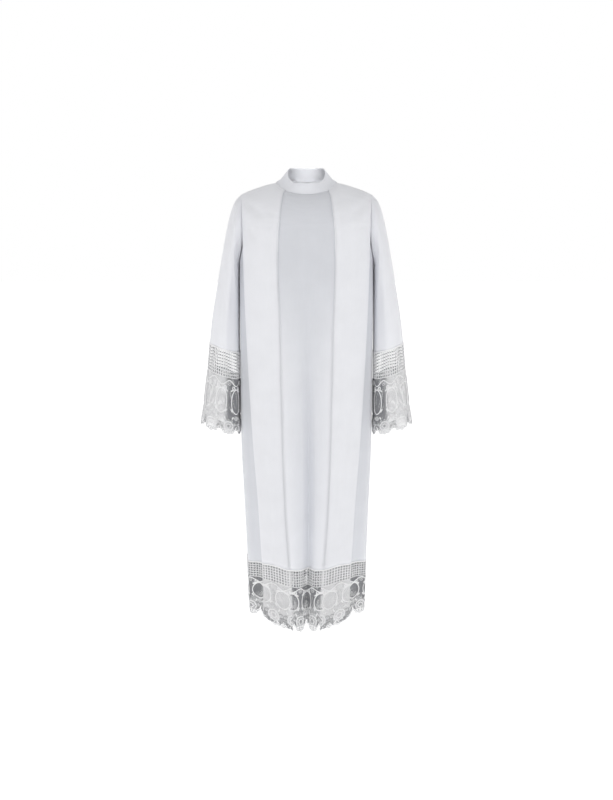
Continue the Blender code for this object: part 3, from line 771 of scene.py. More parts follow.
def sleeve_piece(name, side, nodes, materials):
    """A sleeve's cloth, from the armhole down to its lace."""
    angle = np.arange(SLEEVE_RING_POINTS) * 2.0 * math.pi / SLEEVE_RING_POINTS
    ovals = [oval_ring(*section, angle) for section in SLEEVE_SECTIONS]
    rings = np.array([armhole_ring(angle)] + ovals)
    at = np.linspace(0.0, len(rings) - 1.0, SLEEVE_ROWS)
    grid = smooth_curve(np.arange(len(rings), dtype=float), rings.reshape(len(rings), -1), at)
    grid = grid.reshape(SLEEVE_ROWS, -1, 3)
    steps = np.linalg.norm(np.diff(grid, axis=0), axis=2)
    drop = np.concatenate([np.zeros((1, len(angle))), np.cumsum(steps, axis=0)])
    drop = drop + UNDERARM_DROP * 0.5 * (1.0 - np.cos(angle))
    round_it = np.roll(grid, -1, axis=1) - np.roll(grid, 1, axis=1)
    normal = unit(np.cross(round_it, np.gradient(grid, axis=0)))
    relief = sleeve_relief(angle, drop, side) * soft_step(at, *SLEEVE_FOLDS_BEGIN)[:, None]
    grid = (grid + normal * relief[..., None]) * np.array([side, 1.0, 1.0])
    girth = angle / (2.0 * math.pi) * CUFF_GIRTHS[-1]
    uv = np.stack(np.broadcast_arrays(girth, -drop), axis=-1)
    # Painted light of the sleeve: a faint painted shade, just off white
    painted_cloth_light = np.full(drop.shape, SLEEVE_PAINTED_LIGHT)
    piece = cloth_piece(name, grid, uv, painted_cloth_light, CLOTH_THICKNESS, materials, turned=side < 0,
                        closed=True)
    declare(piece, nodes)
    return piece


# ---------------------------------------------------------------- collar

COLLAR_TOP_HALF_WIDTH = 0.0590
COLLAR_TOP_FRONT_DEPTH = 0.0640
COLLAR_TOP_BACK_DEPTH = 0.0600
COLLAR_TOP_FRONT_Z = 0.0180
COLLAR_TOP_BACK_Z = 0.0640
COLLAR_TOP_LOW_ANGLE = math.radians(35.0)
COLLAR_TOP_HIGH_ANGLE = math.radians(122.0)
COLLAR_FRONT_DIP = 0.0022
COLLAR_FRONT_DIP_ANGLE = 0.20
COLLAR_SEAM_GAP = 0.0004
COLLAR_SEAM_ALLOWANCE = 0.010
COLLAR_TUCKED_SHARE = 0.22
COLLAR_TUCK_IN = 0.018
COLLAR_SWELL = 0.012
COLLAR_DENT = 0.012
COLLAR_DENT_ANGLE = 0.16
# The collar's foot spreads out to lap over the panels, most of all where it crosses the pleats
COLLAR_FOOT_SHARE = 0.35
COLLAR_LAP = 0.010
COLLAR_LAP_OVER_PLEATS = 0.050
COLLAR_LIFT_OVER_PLEATS = 0.0036
COLLAR_MEETS_PLEAT = (math.radians(27.0), math.radians(41.0))
COLLAR_LEAVES_PLEAT = (math.radians(122.0), math.radians(140.0))
COLLAR_CORNER_DROP = 0.0042
COLLAR_CORNER_ANGLE = math.radians(13.0)
COLLAR_RADIUS = 0.08
COLLAR_HEIGHT = 0.04
COLLAR_POINTS = 184
COLLAR_ROWS = 15


def collar_piece(name, nodes, materials):
    """The stand collar: a stiffened band, closed at the centre front, its foot tucked inside."""
    angle = math.pi + np.linspace(0.0, 2.0 * math.pi, COLLAR_POINTS, endpoint=False)
    from_front = np.abs((angle + math.pi) % (2.0 * math.pi) - math.pi)
    rows = np.linspace(-COLLAR_TUCKED_SHARE, 1.0, COLLAR_ROWS)[:, None]
    share, tucked = np.clip(rows, 0.0, 1.0), np.clip(-rows / COLLAR_TUCKED_SHARE, 0.0, 1.0)
    base_x, base_y = neck_ring(angle, NECK_HALF_WIDTH, NECK_FRONT_DEPTH, NECK_BACK_DEPTH)
    top_x, top_y = neck_ring(angle, COLLAR_TOP_HALF_WIDTH, COLLAR_TOP_FRONT_DEPTH,
                             COLLAR_TOP_BACK_DEPTH)
    top_z = mix(COLLAR_TOP_FRONT_Z, COLLAR_TOP_BACK_Z,
                soft_step(from_front, COLLAR_TOP_LOW_ANGLE, COLLAR_TOP_HIGH_ANGLE))
    top_z = top_z - COLLAR_FRONT_DIP * bell(from_front, COLLAR_FRONT_DIP_ANGLE)
    over = soft_step(from_front, *COLLAR_MEETS_PLEAT) - soft_step(from_front, *COLLAR_LEAVES_PLEAT)
    foot = (1.0 - np.clip(share / COLLAR_FOOT_SHARE, 0.0, 1.0)) ** 2
    lap = (COLLAR_LAP + COLLAR_LAP_OVER_PLEATS * over) * foot * (1.0 - soft_step(tucked, 0.0, 0.5))
    swell = 1.0 + COLLAR_SWELL * np.sin(math.pi * share) - COLLAR_TUCK_IN * tucked + lap
    dent = 1.0 - COLLAR_DENT * bell(from_front, COLLAR_DENT_ANGLE) * share
    corner = bell(from_front - PLEAT_AT_NECK_ANGLE, COLLAR_CORNER_ANGLE)
    x = mix(base_x, top_x, share) * swell
    y = mix(base_y, top_y, share) * swell * dent
    z = mix(neck_height(angle) + COLLAR_SEAM_GAP, top_z, share) - COLLAR_SEAM_ALLOWANCE * tucked
    z = z + (COLLAR_LIFT_OVER_PLEATS * over - COLLAR_CORNER_DROP * corner) * foot
    grid = np.stack([x, y, z], axis=-1)
    uv = np.stack(np.broadcast_arrays(angle * COLLAR_RADIUS, share * COLLAR_HEIGHT), axis=-1)
    # Painted shade: the whole collar is painted a little grey
    painted_cloth_light = np.full(x.shape, COLLAR_PAINTED_LIGHT)
    piece = cloth_piece(name, grid, uv, painted_cloth_light, COLLAR_THICKNESS, materials, closed=True)
    declare(piece, nodes)
    return piece


# ---------------------------------------------------------------- lace: threads in the flat

# The motifs, in metres, with angles in degrees from straight down. Places and eyes are shares
# of the space or the ring that they lie in.
GRID_TOP, STITCHED_TOP = 0.0020, 0.0002
BAR_PLACE = 0.25
NET_BELOW_GRID, NET_INSIDE_EDGE, NET_BELOW_ROSETTE = 0.003, 0.010, 0.012
MEDALLION_BORDER = 0.0052
SCROLL_SIZE, SMALL_SCROLL_SIZE = 0.0075, 0.0050
SCROLL_PLACE, CURL_PLACE, CURL_GAP = (0.003, -0.004), 0.82, 0.001
SCROLL_TURNS, SCROLL_TIGHTENS = 1.45, 0.78
LEAF_LENGTH, LONG_LEAF_LENGTH = 0.0110, 0.0120
LEAF_POINTS = np.array([-0.5, -0.2, 0.2, 0.5])
TOP_LEAF_LEAN, SIDE_LEAF_LEAN, FLOWER_LEAF_LEAN = 62.0, -32.0, 24.0
TOP_LEAF_PLACE, FLOWER_LEAF_PLACE = (0.018, 0.004), (0.013, -0.001)
SIDE_LEAF_INSET, SIDE_LEAF_PLACE = 0.001, 0.72
KNOT_RADIUS, KNOT_EYE, KNOT_DROP, GARLAND_SAG = 0.0064, 0.0018, 0.001, 0.0075
ROSETTE_EYE, ROSETTE_PETALS, PETALS_FROM, PETALS_TO = 0.48, 8, 0.54, 0.90
PETAL_STEPS, PETAL_ROUNDNESS, CURL_STEPS, LEAST_RING_STEPS = 6, 0.7, 14, 7
LOBE_ANGLES = (-100.0, -66.0, -33.0, 0.0, 33.0, 66.0, 100.0)
LOBE_GAP, LOBE_SQUEEZE, LOBE_EYE = 0.0012, 0.92, 0.36
BUD_ANGLES = (148.0, 180.0, 212.0)
BUD_REACH, BUD_HALF_WIDTH, BUD_HALF_HEIGHT = 0.0052, 0.0034, 0.0042
FLOWER_PETALS, FLOWER_FROM, FLOWER_TO, FLOWER_EYE = 6, 0.0026, 0.0088, 0.0014
FLOWER_PLACE = 0.34


class LacePattern:
    """A band of corded machine lace, drawn flat: s runs along the band, t down from its top.

    Each repeat has a net-filled medallion in its middle and a rosette between it and the next,
    whose scallop edges the band. Above them run scrolls, and above those a square grid.
    """

    def __init__(self, repeat, length, sizes):
        self.repeat, self.length, self.sizes = repeat, length, sizes
        self.threads = []

    def thread(self, s, t, kind, lift=0.0):
        self.threads.append((np.column_stack([s, t]), kind, lift))

    def ring(self, s, t, half_width, half_height, kind, lift):
        """An oval, counted from straight down."""
        steps = max(LEAST_RING_STEPS, int(2.0 * math.pi * max(half_width, half_height) / RING_STEP))
        angle = np.linspace(0.0, 2.0 * math.pi, steps + 1)
        self.thread(s + half_width * np.sin(angle), t + half_height * np.cos(angle), kind, lift)

    def petals(self, s, t, inner, outer, count, kind, lift):
        """A ring of pointed loops, as one thread round a flower."""
        angle = np.linspace(0.0, 2.0 * math.pi, PETAL_STEPS * count + 1)
        radius = mix(inner, outer, np.abs(np.sin(angle * count / 2.0)) ** PETAL_ROUNDNESS)
        self.thread(s + radius * np.sin(angle), t + radius * np.cos(angle), kind, lift)

    def scroll(self, s, t, size, hand, kind, lift):
        """A curl that winds in, like the tip of a tendril."""
        way = np.linspace(0.0, 1.0, CURL_STEPS + 1)
        angle = hand * way * SCROLL_TURNS * 2.0 * math.pi
        radius = size * (1.0 - SCROLL_TIGHTENS * way)
        self.thread(s + hand * (size - radius * np.cos(angle)), t + radius * np.sin(angle) * hand,
                    kind, lift)

    def leaf(self, s, t, length, turn):
        """A filled leaf: one broad strand; turn is its lean from straight down, in degrees."""
        reach, angle = length * LEAF_POINTS, math.radians(turn)
        self.thread(s + reach * math.sin(angle), t + reach * math.cos(angle), "leaf", PETAL_LIFT)

    def draw_grid(self):
        """Square openings in rows, under the stitched edge that holds the cloth."""
        pitch, rows = self.repeat / self.sizes["grid_cells"], self.sizes["grid_rows"]
        along = np.arange(0.0, self.length + 0.5 * pitch, pitch)
        down = GRID_TOP + np.arange(rows + 1) * pitch
        for t in down:
            self.thread(along, np.full(along.shape, t), "grid")
        for s in along[:-1]:
            self.thread(np.full(down.shape, s + BAR_PLACE * pitch), down, "grid", BAR_LIFT)
        self.thread(along, np.full(along.shape, STITCHED_TOP), "stitched", STITCH_LIFT)
        return rows * pitch

    def draw_ground(self, grid_depth):
        """The fine diagonal net behind the motifs."""
        columns = int(self.length / GROUND_PITCH) + 1
        rows = int(self.sizes["tip_t"] / GROUND_PITCH) + 1
        steps = np.arange(rows + 1)
        for direction in (1, -1):
            for start in range(-rows, columns + rows):
                s, t = (start + direction * steps) * GROUND_PITCH, steps * GROUND_PITCH
                middle_s, middle_t = 0.5 * (s[1:] + s[:-1]), 0.5 * (t[1:] + t[:-1])
                lowest = np.minimum(self.edge(middle_s) - NET_INSIDE_EDGE,
                                    self.sizes["rosette_t"] + NET_BELOW_ROSETTE)
                keep = (middle_t > grid_depth + NET_BELOW_GRID) & (middle_t < lowest)
                keep &= (middle_s > 0.0) & (middle_s < self.length)
                for first, last in stretches(keep):
                    self.thread(s[first:last + 1], t[first:last + 1], "ground", NET_LIFT)

    def edge(self, s):
        """Depth of the scalloped edge along the band."""
        off = np.abs(s % self.repeat - 0.5 * self.repeat) / (0.5 * self.repeat)
        reach = np.sqrt(np.clip(1.0 - off ** 2.0, 0.0, 1.0))
        return mix(self.sizes["rosette_t"], self.sizes["tip_t"], reach)

    def draw_repeat(self, middle):
        """One medallion with what hangs from and between it and its neighbours."""
        size = self.sizes
        wide, tall = size["medallion_half_width"], size["medallion_half_height"]
        level, garland = size["medallion_t"], size["garland_t"]
        top, between = level - tall, middle + 0.5 * self.repeat
        for kind, inset, lift in (("cord", 0.0, CORD_LIFT), ("ground", MEDALLION_BORDER, FILLING_LIFT)):
            self.ring(middle, level, wide - inset, tall - inset, kind, lift)
        for hand in (-1, 1):
            self.scroll(middle + hand * SCROLL_PLACE[0], top + SCROLL_PLACE[1], SCROLL_SIZE, hand,
                        "cord", CORD_LIFT)
            self.leaf(middle + hand * TOP_LEAF_PLACE[0], top + TOP_LEAF_PLACE[1], LEAF_LENGTH,
                      hand * TOP_LEAF_LEAN)
            self.leaf(middle + hand * (wide - SIDE_LEAF_INSET), level + SIDE_LEAF_PLACE * tall,
                      LONG_LEAF_LENGTH, hand * SIDE_LEAF_LEAN)
        for radius in (KNOT_RADIUS, KNOT_EYE):
            self.ring(between, garland + KNOT_DROP, radius, radius, "fine", GARLAND_LIFT)
        hang = np.linspace(-0.5, 0.5, CURL_STEPS + 1)
        self.thread(middle + hang * self.repeat, garland + GARLAND_SAG * np.cos(hang * 2.0 * math.pi),
                    "cord", GARLAND_LIFT)
        self.draw_rosette(between)
        self.draw_flower(middle)

    def draw_rosette(self, s):
        """Rings round an eye, with petals between them, and the scallop's lobes below."""
        size = self.sizes
        t, radius, lobe = size["rosette_t"], size["rosette_radius"], size["lobe_radius"]
        for share in (1.0, ROSETTE_EYE):
            self.ring(s, t, share * radius, share * radius, "cord", CORD_LIFT)
        self.petals(s, t, PETALS_FROM * radius, PETALS_TO * radius, ROSETTE_PETALS, "fine",
                    FILLING_LIFT)
        away = size["tip_t"] - t - lobe - LOBE_GAP
        for angle in np.radians(LOBE_ANGLES):
            lobe_s, lobe_t = s + LOBE_SQUEEZE * away * math.sin(angle), t + away * math.cos(angle)
            self.ring(lobe_s, lobe_t, lobe, lobe, "lobe", PETAL_LIFT)
            self.ring(lobe_s, lobe_t, LOBE_EYE * lobe, LOBE_EYE * lobe, "lobe", FILLING_LIFT)
        reach = radius + BUD_REACH
        for angle in np.radians(BUD_ANGLES):
            self.ring(s + reach * math.sin(angle), t + reach * math.cos(angle),
                      BUD_HALF_WIDTH, BUD_HALF_HEIGHT, "fine", PETAL_LIFT)

    def draw_flower(self, s):
        """A small flower with two curls, below each medallion and over the notch."""
        top = self.sizes["medallion_t"] + self.sizes["medallion_half_height"]
        bottom = self.sizes["rosette_t"]
        flower_t = mix(top, bottom, FLOWER_PLACE)
        self.petals(s, flower_t, FLOWER_FROM, FLOWER_TO, FLOWER_PETALS, "fine", PETAL_LIFT)
        self.ring(s, flower_t, FLOWER_EYE, FLOWER_EYE, "fine", CORD_LIFT)
        for hand in (-1, 1):
            self.scroll(s + hand * CURL_GAP, mix(top, bottom, CURL_PLACE), SMALL_SCROLL_SIZE, hand,
                        "fine", GARLAND_LIFT)
            self.leaf(s + hand * FLOWER_LEAF_PLACE[0], flower_t + FLOWER_LEAF_PLACE[1], LEAF_LENGTH,
                      hand * FLOWER_LEAF_LEAN)

    def draw(self):
        """All the threads of the band."""
        self.draw_ground(self.draw_grid())
        for number in range(-1, int(round(self.length / self.repeat)) + 1):
            self.draw_repeat(number * self.repeat)
        return self.threads


def stretches(kept):
    """First and last place of each unbroken stretch that is kept; the last is one past it."""
    edges = np.flatnonzero(np.diff(np.concatenate([[0], kept.astype(int), [0]])))
    return list(zip(edges[::2], edges[1::2]))


def cut_threads(threads, first, last):
    """The stretches of the threads that lie between two places along the band."""
    kept = []
    for points, kind, lift in threads:
        s = points[:, 0]
        if s.max() < first or s.min() > last:
            continue
        if s.min() >= first and s.max() <= last:
            kept.append((points, kind, lift))
            continue
        at = distance_along(points)
        fine = np.unique(np.concatenate([at, np.arange(0.0, at[-1], CUT_STEP)]))
        s, t = (np.interp(fine, at, points[:, k]) for k in (0, 1))
        for low, high in stretches((s >= first) & (s <= last)):
            if high - low >= FEWEST_POINTS:
                kept.append((np.column_stack([s[low:high], t[low:high]]), kind, lift))
    return kept


def distance_along(points):
    """Distance of each point of a flat thread from its start."""
    return np.concatenate([[0.0], np.cumsum(np.hypot(*np.diff(points, axis=0).T))])


def even_steps(points, longest):
    """A thread's points, with long steps divided and needless ones left out. Short curves keep
    shorter steps, so that they stay round."""
    at = distance_along(points)
    step = np.diff(at)
    count = max(1, int(math.ceil(at[-1] / longest)))
    if len(points) <= count + 1 and step.max() <= longest * STEP_SLACK:
        return points
    if len(points) > 2 and np.median(step) < FINE_STEP_SHARE * longest and at[-1] < LONGEST_CURVE:
        count = max(count, min(len(points) - 1, int(at[-1] / CURVE_STEP) + 1))
    even = np.linspace(0.0, at[-1], count + 1)
    return np.column_stack([np.interp(even, at, points[:, k]) for k in (0, 1)])


def lay_end_to_end(threads):
    """The points, directions and kinds of all the threads, and each one's run of points, as its
    first point, its count and whether it closes on itself."""
    flat, tangents, kinds, runs = [], [], [], []
    total = 0
    for points, kind, lift in threads:
        points = even_steps(points, LONGEST_THREAD_STEP)
        is_ring = len(points) > 3 and np.hypot(*(points[0] - points[-1])) < 1e-6
        if is_ring:
            points = points[:-1]
            tangent = np.roll(points, -1, axis=0) - np.roll(points, 1, axis=0)
        else:
            tangent = np.gradient(points, axis=0)
        flat.append(points)
        tangents.append(unit(tangent))
        kinds.append(np.tile(THREADS[kind] + (lift,), (len(points), 1)))
        runs.append((total, len(points), is_ring))
        total += len(points)
    return np.concatenate(flat), np.concatenate(tangents), np.concatenate(kinds), runs


def strand_faces(runs):
    """Faces of four-sided strands, with an end cap on those that don't close on themselves."""
    faces = []
    for start, count, is_ring in runs:
        index = start + np.arange(count if is_ring else count - 1)
        after = start + (np.arange(len(index)) + 1) % count
        for corner in range(4):
            beside = (corner + 1) % 4
            faces.append(np.column_stack([index * 4 + corner, index * 4 + beside,
                                          after * 4 + beside, after * 4 + corner]))
        if not is_ring:
            first, last = start * 4, (start + count - 1) * 4
            faces.append(np.array([[first + 3, first + 2, first + 1, first],
                                   [last, last + 1, last + 2, last + 3]]))
    return np.concatenate(faces)


def weave_threads(threads, place, lace_light, outward, wrong_side_light):
    """Vertices, faces, cloth coordinates and painted light of the threads as thin closed strands.

    place(s, t) lays them on the robe. outward is -1 where s runs against the way that puts the
    right side outside. A strand has flat edges left and right and a ridge above and below.
    The third argument says from 0 to 1, along s, how much painted light the lace gets: on the
    hem it follows how much more lace lies behind, on the cuff it is painted darker by the body.
    A single layer looks thinner and is painted greyer, in painted shade for the robe's shaded
    inside seen through it, and its wrong side, the ridge towards the inside, is painted darker
    still. The last argument is how white the wrong side is painted beside the right side where
    the lace is backed.
    """
    flat, tangents, kinds, runs = lay_end_to_end(threads)
    s, t = flat.T
    width, thickness, alone, backed, lift = kinds.T[..., None]
    along = unit(place(s + LACE_SLOPE_STEP, t) - place(s - LACE_SLOPE_STEP, t))
    down = unit(place(s, t + LACE_SLOPE_STEP) - place(s, t - LACE_SLOPE_STEP))
    normal = unit(np.cross(down, along) * outward)
    middle = place(s, t) + normal * lift
    edge = 0.5 * width * (along * tangents[:, 1:2] - down * tangents[:, 0:1])
    ridge = 0.5 * thickness * normal
    corners = np.stack([middle + edge, middle + ridge, middle - edge, middle - ridge], axis=1)
    # Painted shade: greyer where the lace hangs singly, darker still on its wrong side
    lit_share = lace_light(s)[:, None]
    right_side = mix(alone, backed, lit_share)
    wrong_side = right_side * lit_share * wrong_side_light
    painted_light = np.concatenate([right_side, right_side, right_side, wrong_side], axis=1)
    return corners.reshape(-1, 3), strand_faces(runs), np.repeat(flat, 4, axis=0), painted_light.ravel()


def lace_piece(node, parts, materials):
    """A lace panel from woven parts, each as (vertices, faces, uv, painted light, turned)."""
    faces, count = [], 0
    for vertices, part_faces, _, _, turned in parts:
        faces.append((part_faces[:, ::-1] if turned else part_faces) + count)
        count += len(vertices)
    vertices, uv, painted_light = (np.concatenate([part[k] for part in parts]) for k in (0, 2, 3))
    piece = finish_mesh(node + "_threads", vertices, np.concatenate(faces), materials, uv, painted_light)
    declare(piece, [node])
    return piece


# ---------------------------------------------------------------- hem lace

HEM_LACE_HEIGHT = 0.2070
HEM_LACE = {
    "grid_cells": 7, "grid_rows": 6, "garland_t": 0.0680,
    "medallion_t": 0.1080, "medallion_half_width": 0.0235, "medallion_half_height": 0.0290,
    "rosette_t": 0.1715, "rosette_radius": 0.0180, "lobe_radius": 0.0070, "tip_t": 0.2060,
}
HEM_REPEAT = 0.0610


def hem_place(side):
    """Lays the hem lace: s metres from the centre front along the cloth, t metres down."""
    def place(s, t):
        s = np.clip(s, 0.0, ROUND_AT_HEM[-1])
        base, offset, layer = (np.interp(s, ROUND_AT_HEM, values)
                               for values in (STATION_BASE, STATION_OFFSET, STATION_LAYER))
        across = base + offset / pleat_width(np.full(s.shape, LACE_FOLD_Z))
        up = mix(hem_height("cloth_z", across), hem_height("lace_z", across), t / HEM_LACE_HEIGHT)
        points = np.empty(s.shape + (3,))
        in_front = s <= ROUND_AT_HEM[SIDE_STATION]
        for half, facing in ((in_front, -1), (~in_front, 1)):
            points[half] = body_points(base[half], offset[half], layer[half], up[half], side, facing)
        return points

    return place


def hem_layers(s):
    """1 where the hem lace is pleated into three layers, and 0 where it hangs singly."""
    return np.clip(np.interp(s, ROUND_AT_HEM, STATION_LAYER), 0.0, 1.0)


def make_hem_lace(materials):
    """All the lace round the hem, one piece below each piece of cloth."""
    half = ROUND_AT_HEM[-1]
    threads = LacePattern(half / round(half / HEM_REPEAT), half, HEM_LACE).draw()
    plans = (("centre", -1, "front", "front_centre"), ("pleat", -1, "front_pleat", "front_pleat"),
             ("side", -1, "side", "side"), ("pleat", 1, "back_pleat", "back_pleat"),
             ("centre", 1, "back", "back_centre"))
    for piece, facing, node, cloth in plans:
        first, last = station_range(piece, facing)
        low, high = ROUND_AT_HEM[first], ROUND_AT_HEM[last]
        cut = cut_threads(threads, low, high)
        woven = {side: weave_threads(cut, hem_place(side), hem_layers, side, HEM_WRONG_SIDE_LIGHT)
                 for side in (1, -1)}
        if piece == "centre":
            lace_piece("hem_lace_" + node, [woven[1] + (False,), woven[-1] + (True,)],
                       materials)
            continue
        for side, word in ((1, "_left"), (-1, "_right")):
            lace_piece("hem_lace_" + node + word, [woven[side] + (side < 0,)],
                       materials)


# ---------------------------------------------------------------- cuff lace

CUFF_LACE_HEIGHT = 0.2660
CUFF_LACE = {
    "grid_cells": 7, "grid_rows": 8, "garland_t": 0.0830,
    "medallion_t": 0.1400, "medallion_half_width": 0.0185, "medallion_half_height": 0.0390,
    "rosette_t": 0.2280, "rosette_radius": 0.0180, "lobe_radius": 0.0070, "tip_t": 0.2640,
}
CUFF_REPEATS = 8
# Drops of the lace's top and bottom from the shoulder, for the folds that run on into it
CUFF_DROPS = (0.46, 0.73)
CUFF_FLUTTER = 0.0035
CUFF_FLUTTER_GROWTH = 1.5
CUFF_FLAT_INNER_ANGLE = 0.9
# Angles from the inner side over which the cuff lace's painted shade gives way to white
CUFF_PAINTED_SHADE_ANGLES = (math.radians(62.0), math.radians(84.0))
CUFF_MEASURE_POINTS = 241


def cuff_oval(angle, share, side):
    """Points of the cuff's lace: share is 0 at its top and 1 at the lowest points."""
    rows = np.array(CUFF_SECTIONS)
    place = np.arange(len(rows), dtype=float)
    values = [smooth_curve(place, column, share * (len(rows) - 1)) for column in rows.T]
    outer_x, outer_z, inner_x, inner_z, _, middle_y = values
    points = oval_ring(*values, angle)
    middle = np.stack([0.5 * (outer_x + inner_x), middle_y, 0.5 * (outer_z + inner_z)], axis=-1)
    outward = unit((points - middle) * (1.0, 1.0, 0.0))
    flutter = CUFF_FLUTTER * share ** CUFF_FLUTTER_GROWTH * np.sin(CUFF_REPEATS * angle)
    flutter = flutter * (1.0 - bell(angle - math.pi, CUFF_FLAT_INNER_ANGLE))
    relief = sleeve_relief(angle, mix(*CUFF_DROPS, share), side) + flutter
    return (points + outward * relief[..., None]) * np.array([side, 1.0, 1.0])


def cuff_girths():
    """Angles round the cuff, with the distance along the lace to each at half its height."""
    angle = np.linspace(0.0, 2.0 * math.pi, CUFF_MEASURE_POINTS)
    points = cuff_oval(angle, np.full(angle.shape, 0.5), 1)
    girth = np.concatenate([[0.0], np.cumsum(np.linalg.norm(np.diff(points, axis=0), axis=1))])
    return angle, girth


def cuff_painted_light(s):
    """Painted light of the cuff's lace: painted shade on its inner side, beside the body, and white
    elsewhere; the lace is one layer all round.
    """
    turn = np.interp(s, CUFF_GIRTHS, CUFF_ANGLES)
    return soft_step(np.abs(turn - math.pi), *CUFF_PAINTED_SHADE_ANGLES)


def cuff_place(side):
    """Lays the cuff's lace: s metres round from the outer edge, t metres down."""
    def place(s, t):
        turn = np.interp(s % CUFF_GIRTHS[-1], CUFF_GIRTHS, CUFF_ANGLES)
        return cuff_oval(turn, t / CUFF_LACE_HEIGHT, side)

    return place


def make_cuff_lace(materials):
    """The deep lace of each cuff, a tube of whole repeats."""
    girth = CUFF_GIRTHS[-1]
    threads = cut_threads(LacePattern(girth / CUFF_REPEATS, girth, CUFF_LACE).draw(), 0.0, girth)
    for side, word in ((1, "left"), (-1, "right")):
        woven = weave_threads(threads, cuff_place(side), cuff_painted_light, -side, CUFF_WRONG_SIDE_LIGHT)
        lace_piece("cuff_lace_" + word, [woven + (side > 0,)], materials)


# ---------------------------------------------------------------- materials

def linear(hex_colour):
    """A hex sRGB colour as linear RGBA."""
    channels = [int(hex_colour[k:k + 2], 16) / 255.0 for k in (1, 3, 5)]
    return tuple(c / 12.92 if c <= 0.04045 else ((c + 0.055) / 1.055) ** 2.4 for c in channels) + (1.0,)


def add_node(tree, kind, settings=None, links=None):
    """Adds a node: settings are its properties or sockets, links its inputs' sources."""
    node = tree.nodes.new(kind)
    for name, value in (settings or {}).items():
        if isinstance(name, int) or name in node.inputs:
            node.inputs[name].default_value = value
        else:
            setattr(node, name, value)
    for name, source in (links or {}).items():
        tree.links.new(source, node.inputs[name])
    return node


def new_material(name, finish):
    """A new material's tree and shader, with the constants of its finish on the shader."""
    material = bpy.data.materials.new(name)
    material.use_nodes = True
    tree = material.node_tree
    shader = tree.nodes["Principled BSDF"]
    for socket, value in finish.items():
        shader.inputs[socket].default_value = value
    return material, tree, shader


def make_alb_cloth():
    """Plain-woven polyester and cotton, bleached and pressed: a smooth matt white with a faint
    sheen. Its colour carries painted shade: greyer and cooler on one thin layer, over the recessed
    middle and in the valley, white over a pleat's three. Light goes a little way into it."""
    material, tree, shader = new_material("bleached plain-woven alb cloth", {
        "IOR": 1.46, "Specular IOR Level": 0.35, "Sheen Weight": 0.18, "Sheen Roughness": 0.45,
        "Subsurface Weight": 0.35, "Subsurface Radius": (1.0, 1.0, 1.0), "Subsurface Scale": 0.005})
    place = add_node(tree, "ShaderNodeUVMap", {"uv_map": "cloth"}).outputs[0]
    painted_cloth_light = add_node(tree, "ShaderNodeAttribute", {"attribute_name": "painted_light"}).outputs["Fac"]
    # Large, faint unevenness of the bleach and of the press, about 8 cm across
    cloudiness = add_node(tree, "ShaderNodeTexNoise", {"Scale": 12.0, "Detail": 3.0, "Roughness": 0.55},
                          {"Vector": place}).outputs["Fac"]
    # Slubs: threads a little thicker than the rest, drawn long and thin along the warp
    stretched = add_node(tree, "ShaderNodeMapping", {"Scale": (420.0, 24.0, 1.0)}, {"Vector": place})
    slubs = add_node(tree, "ShaderNodeTexNoise", {"Scale": 1.0, "Detail": 2.0, "Roughness": 0.6},
                     {"Vector": stretched.outputs[0]}).outputs["Fac"]
    # Warp and weft: threads 0.3 mm apart would not show, so they are drawn 1.1 mm apart
    warp, weft = (add_node(tree, "ShaderNodeTexWave",
                           {"bands_direction": way, "Scale": 285.0, "Distortion": 0.6, "Detail": 1.0},
                           {"Vector": place}).outputs["Fac"] for way in ("X", "Y"))
    weave = add_node(tree, "ShaderNodeMath", {"operation": "MULTIPLY"}, {0: warp, 1: weft})
    # Painted shade: grey and cool where the painted light is 0, white where it is 1
    base = add_node(tree, "ShaderNodeMix",
                    {"data_type": "RGBA", 6: linear("#DADCE2"), 7: linear("#F2F3F8")}, {0: painted_cloth_light})
    ranges = ((0.965, 1.0, cloudiness), (0.985, 1.0, slubs), (0.66, 0.78, cloudiness))
    shade, streak, roughness = (
        add_node(tree, "ShaderNodeMapRange",
                 {"From Min": 0.3, "From Max": 0.7, "To Min": low, "To Max": high}, {"Value": pattern})
        for low, high, pattern in ranges)
    shading = add_node(tree, "ShaderNodeMath", {"operation": "MULTIPLY"},
                       {0: shade.outputs["Result"], 1: streak.outputs["Result"]})
    colour = add_node(tree, "ShaderNodeMix", {"data_type": "RGBA", "blend_type": "MULTIPLY", 0: 1.0},
                      {6: base.outputs[2], 7: shading.outputs[0]})
    relief = add_node(tree, "ShaderNodeMath", {"operation": "MULTIPLY_ADD", 1: 0.35},
                      {0: slubs, 2: weave.outputs[0]})
    bump = add_node(tree, "ShaderNodeBump", {"Strength": 0.30, "Distance": 0.00025},
                    {"Height": relief.outputs[0]})
    tree.links.new(colour.outputs[2], shader.inputs["Base Color"])
    tree.links.new(roughness.outputs["Result"], shader.inputs["Roughness"])
    tree.links.new(bump.outputs[0], shader.inputs["Normal"])
    return material


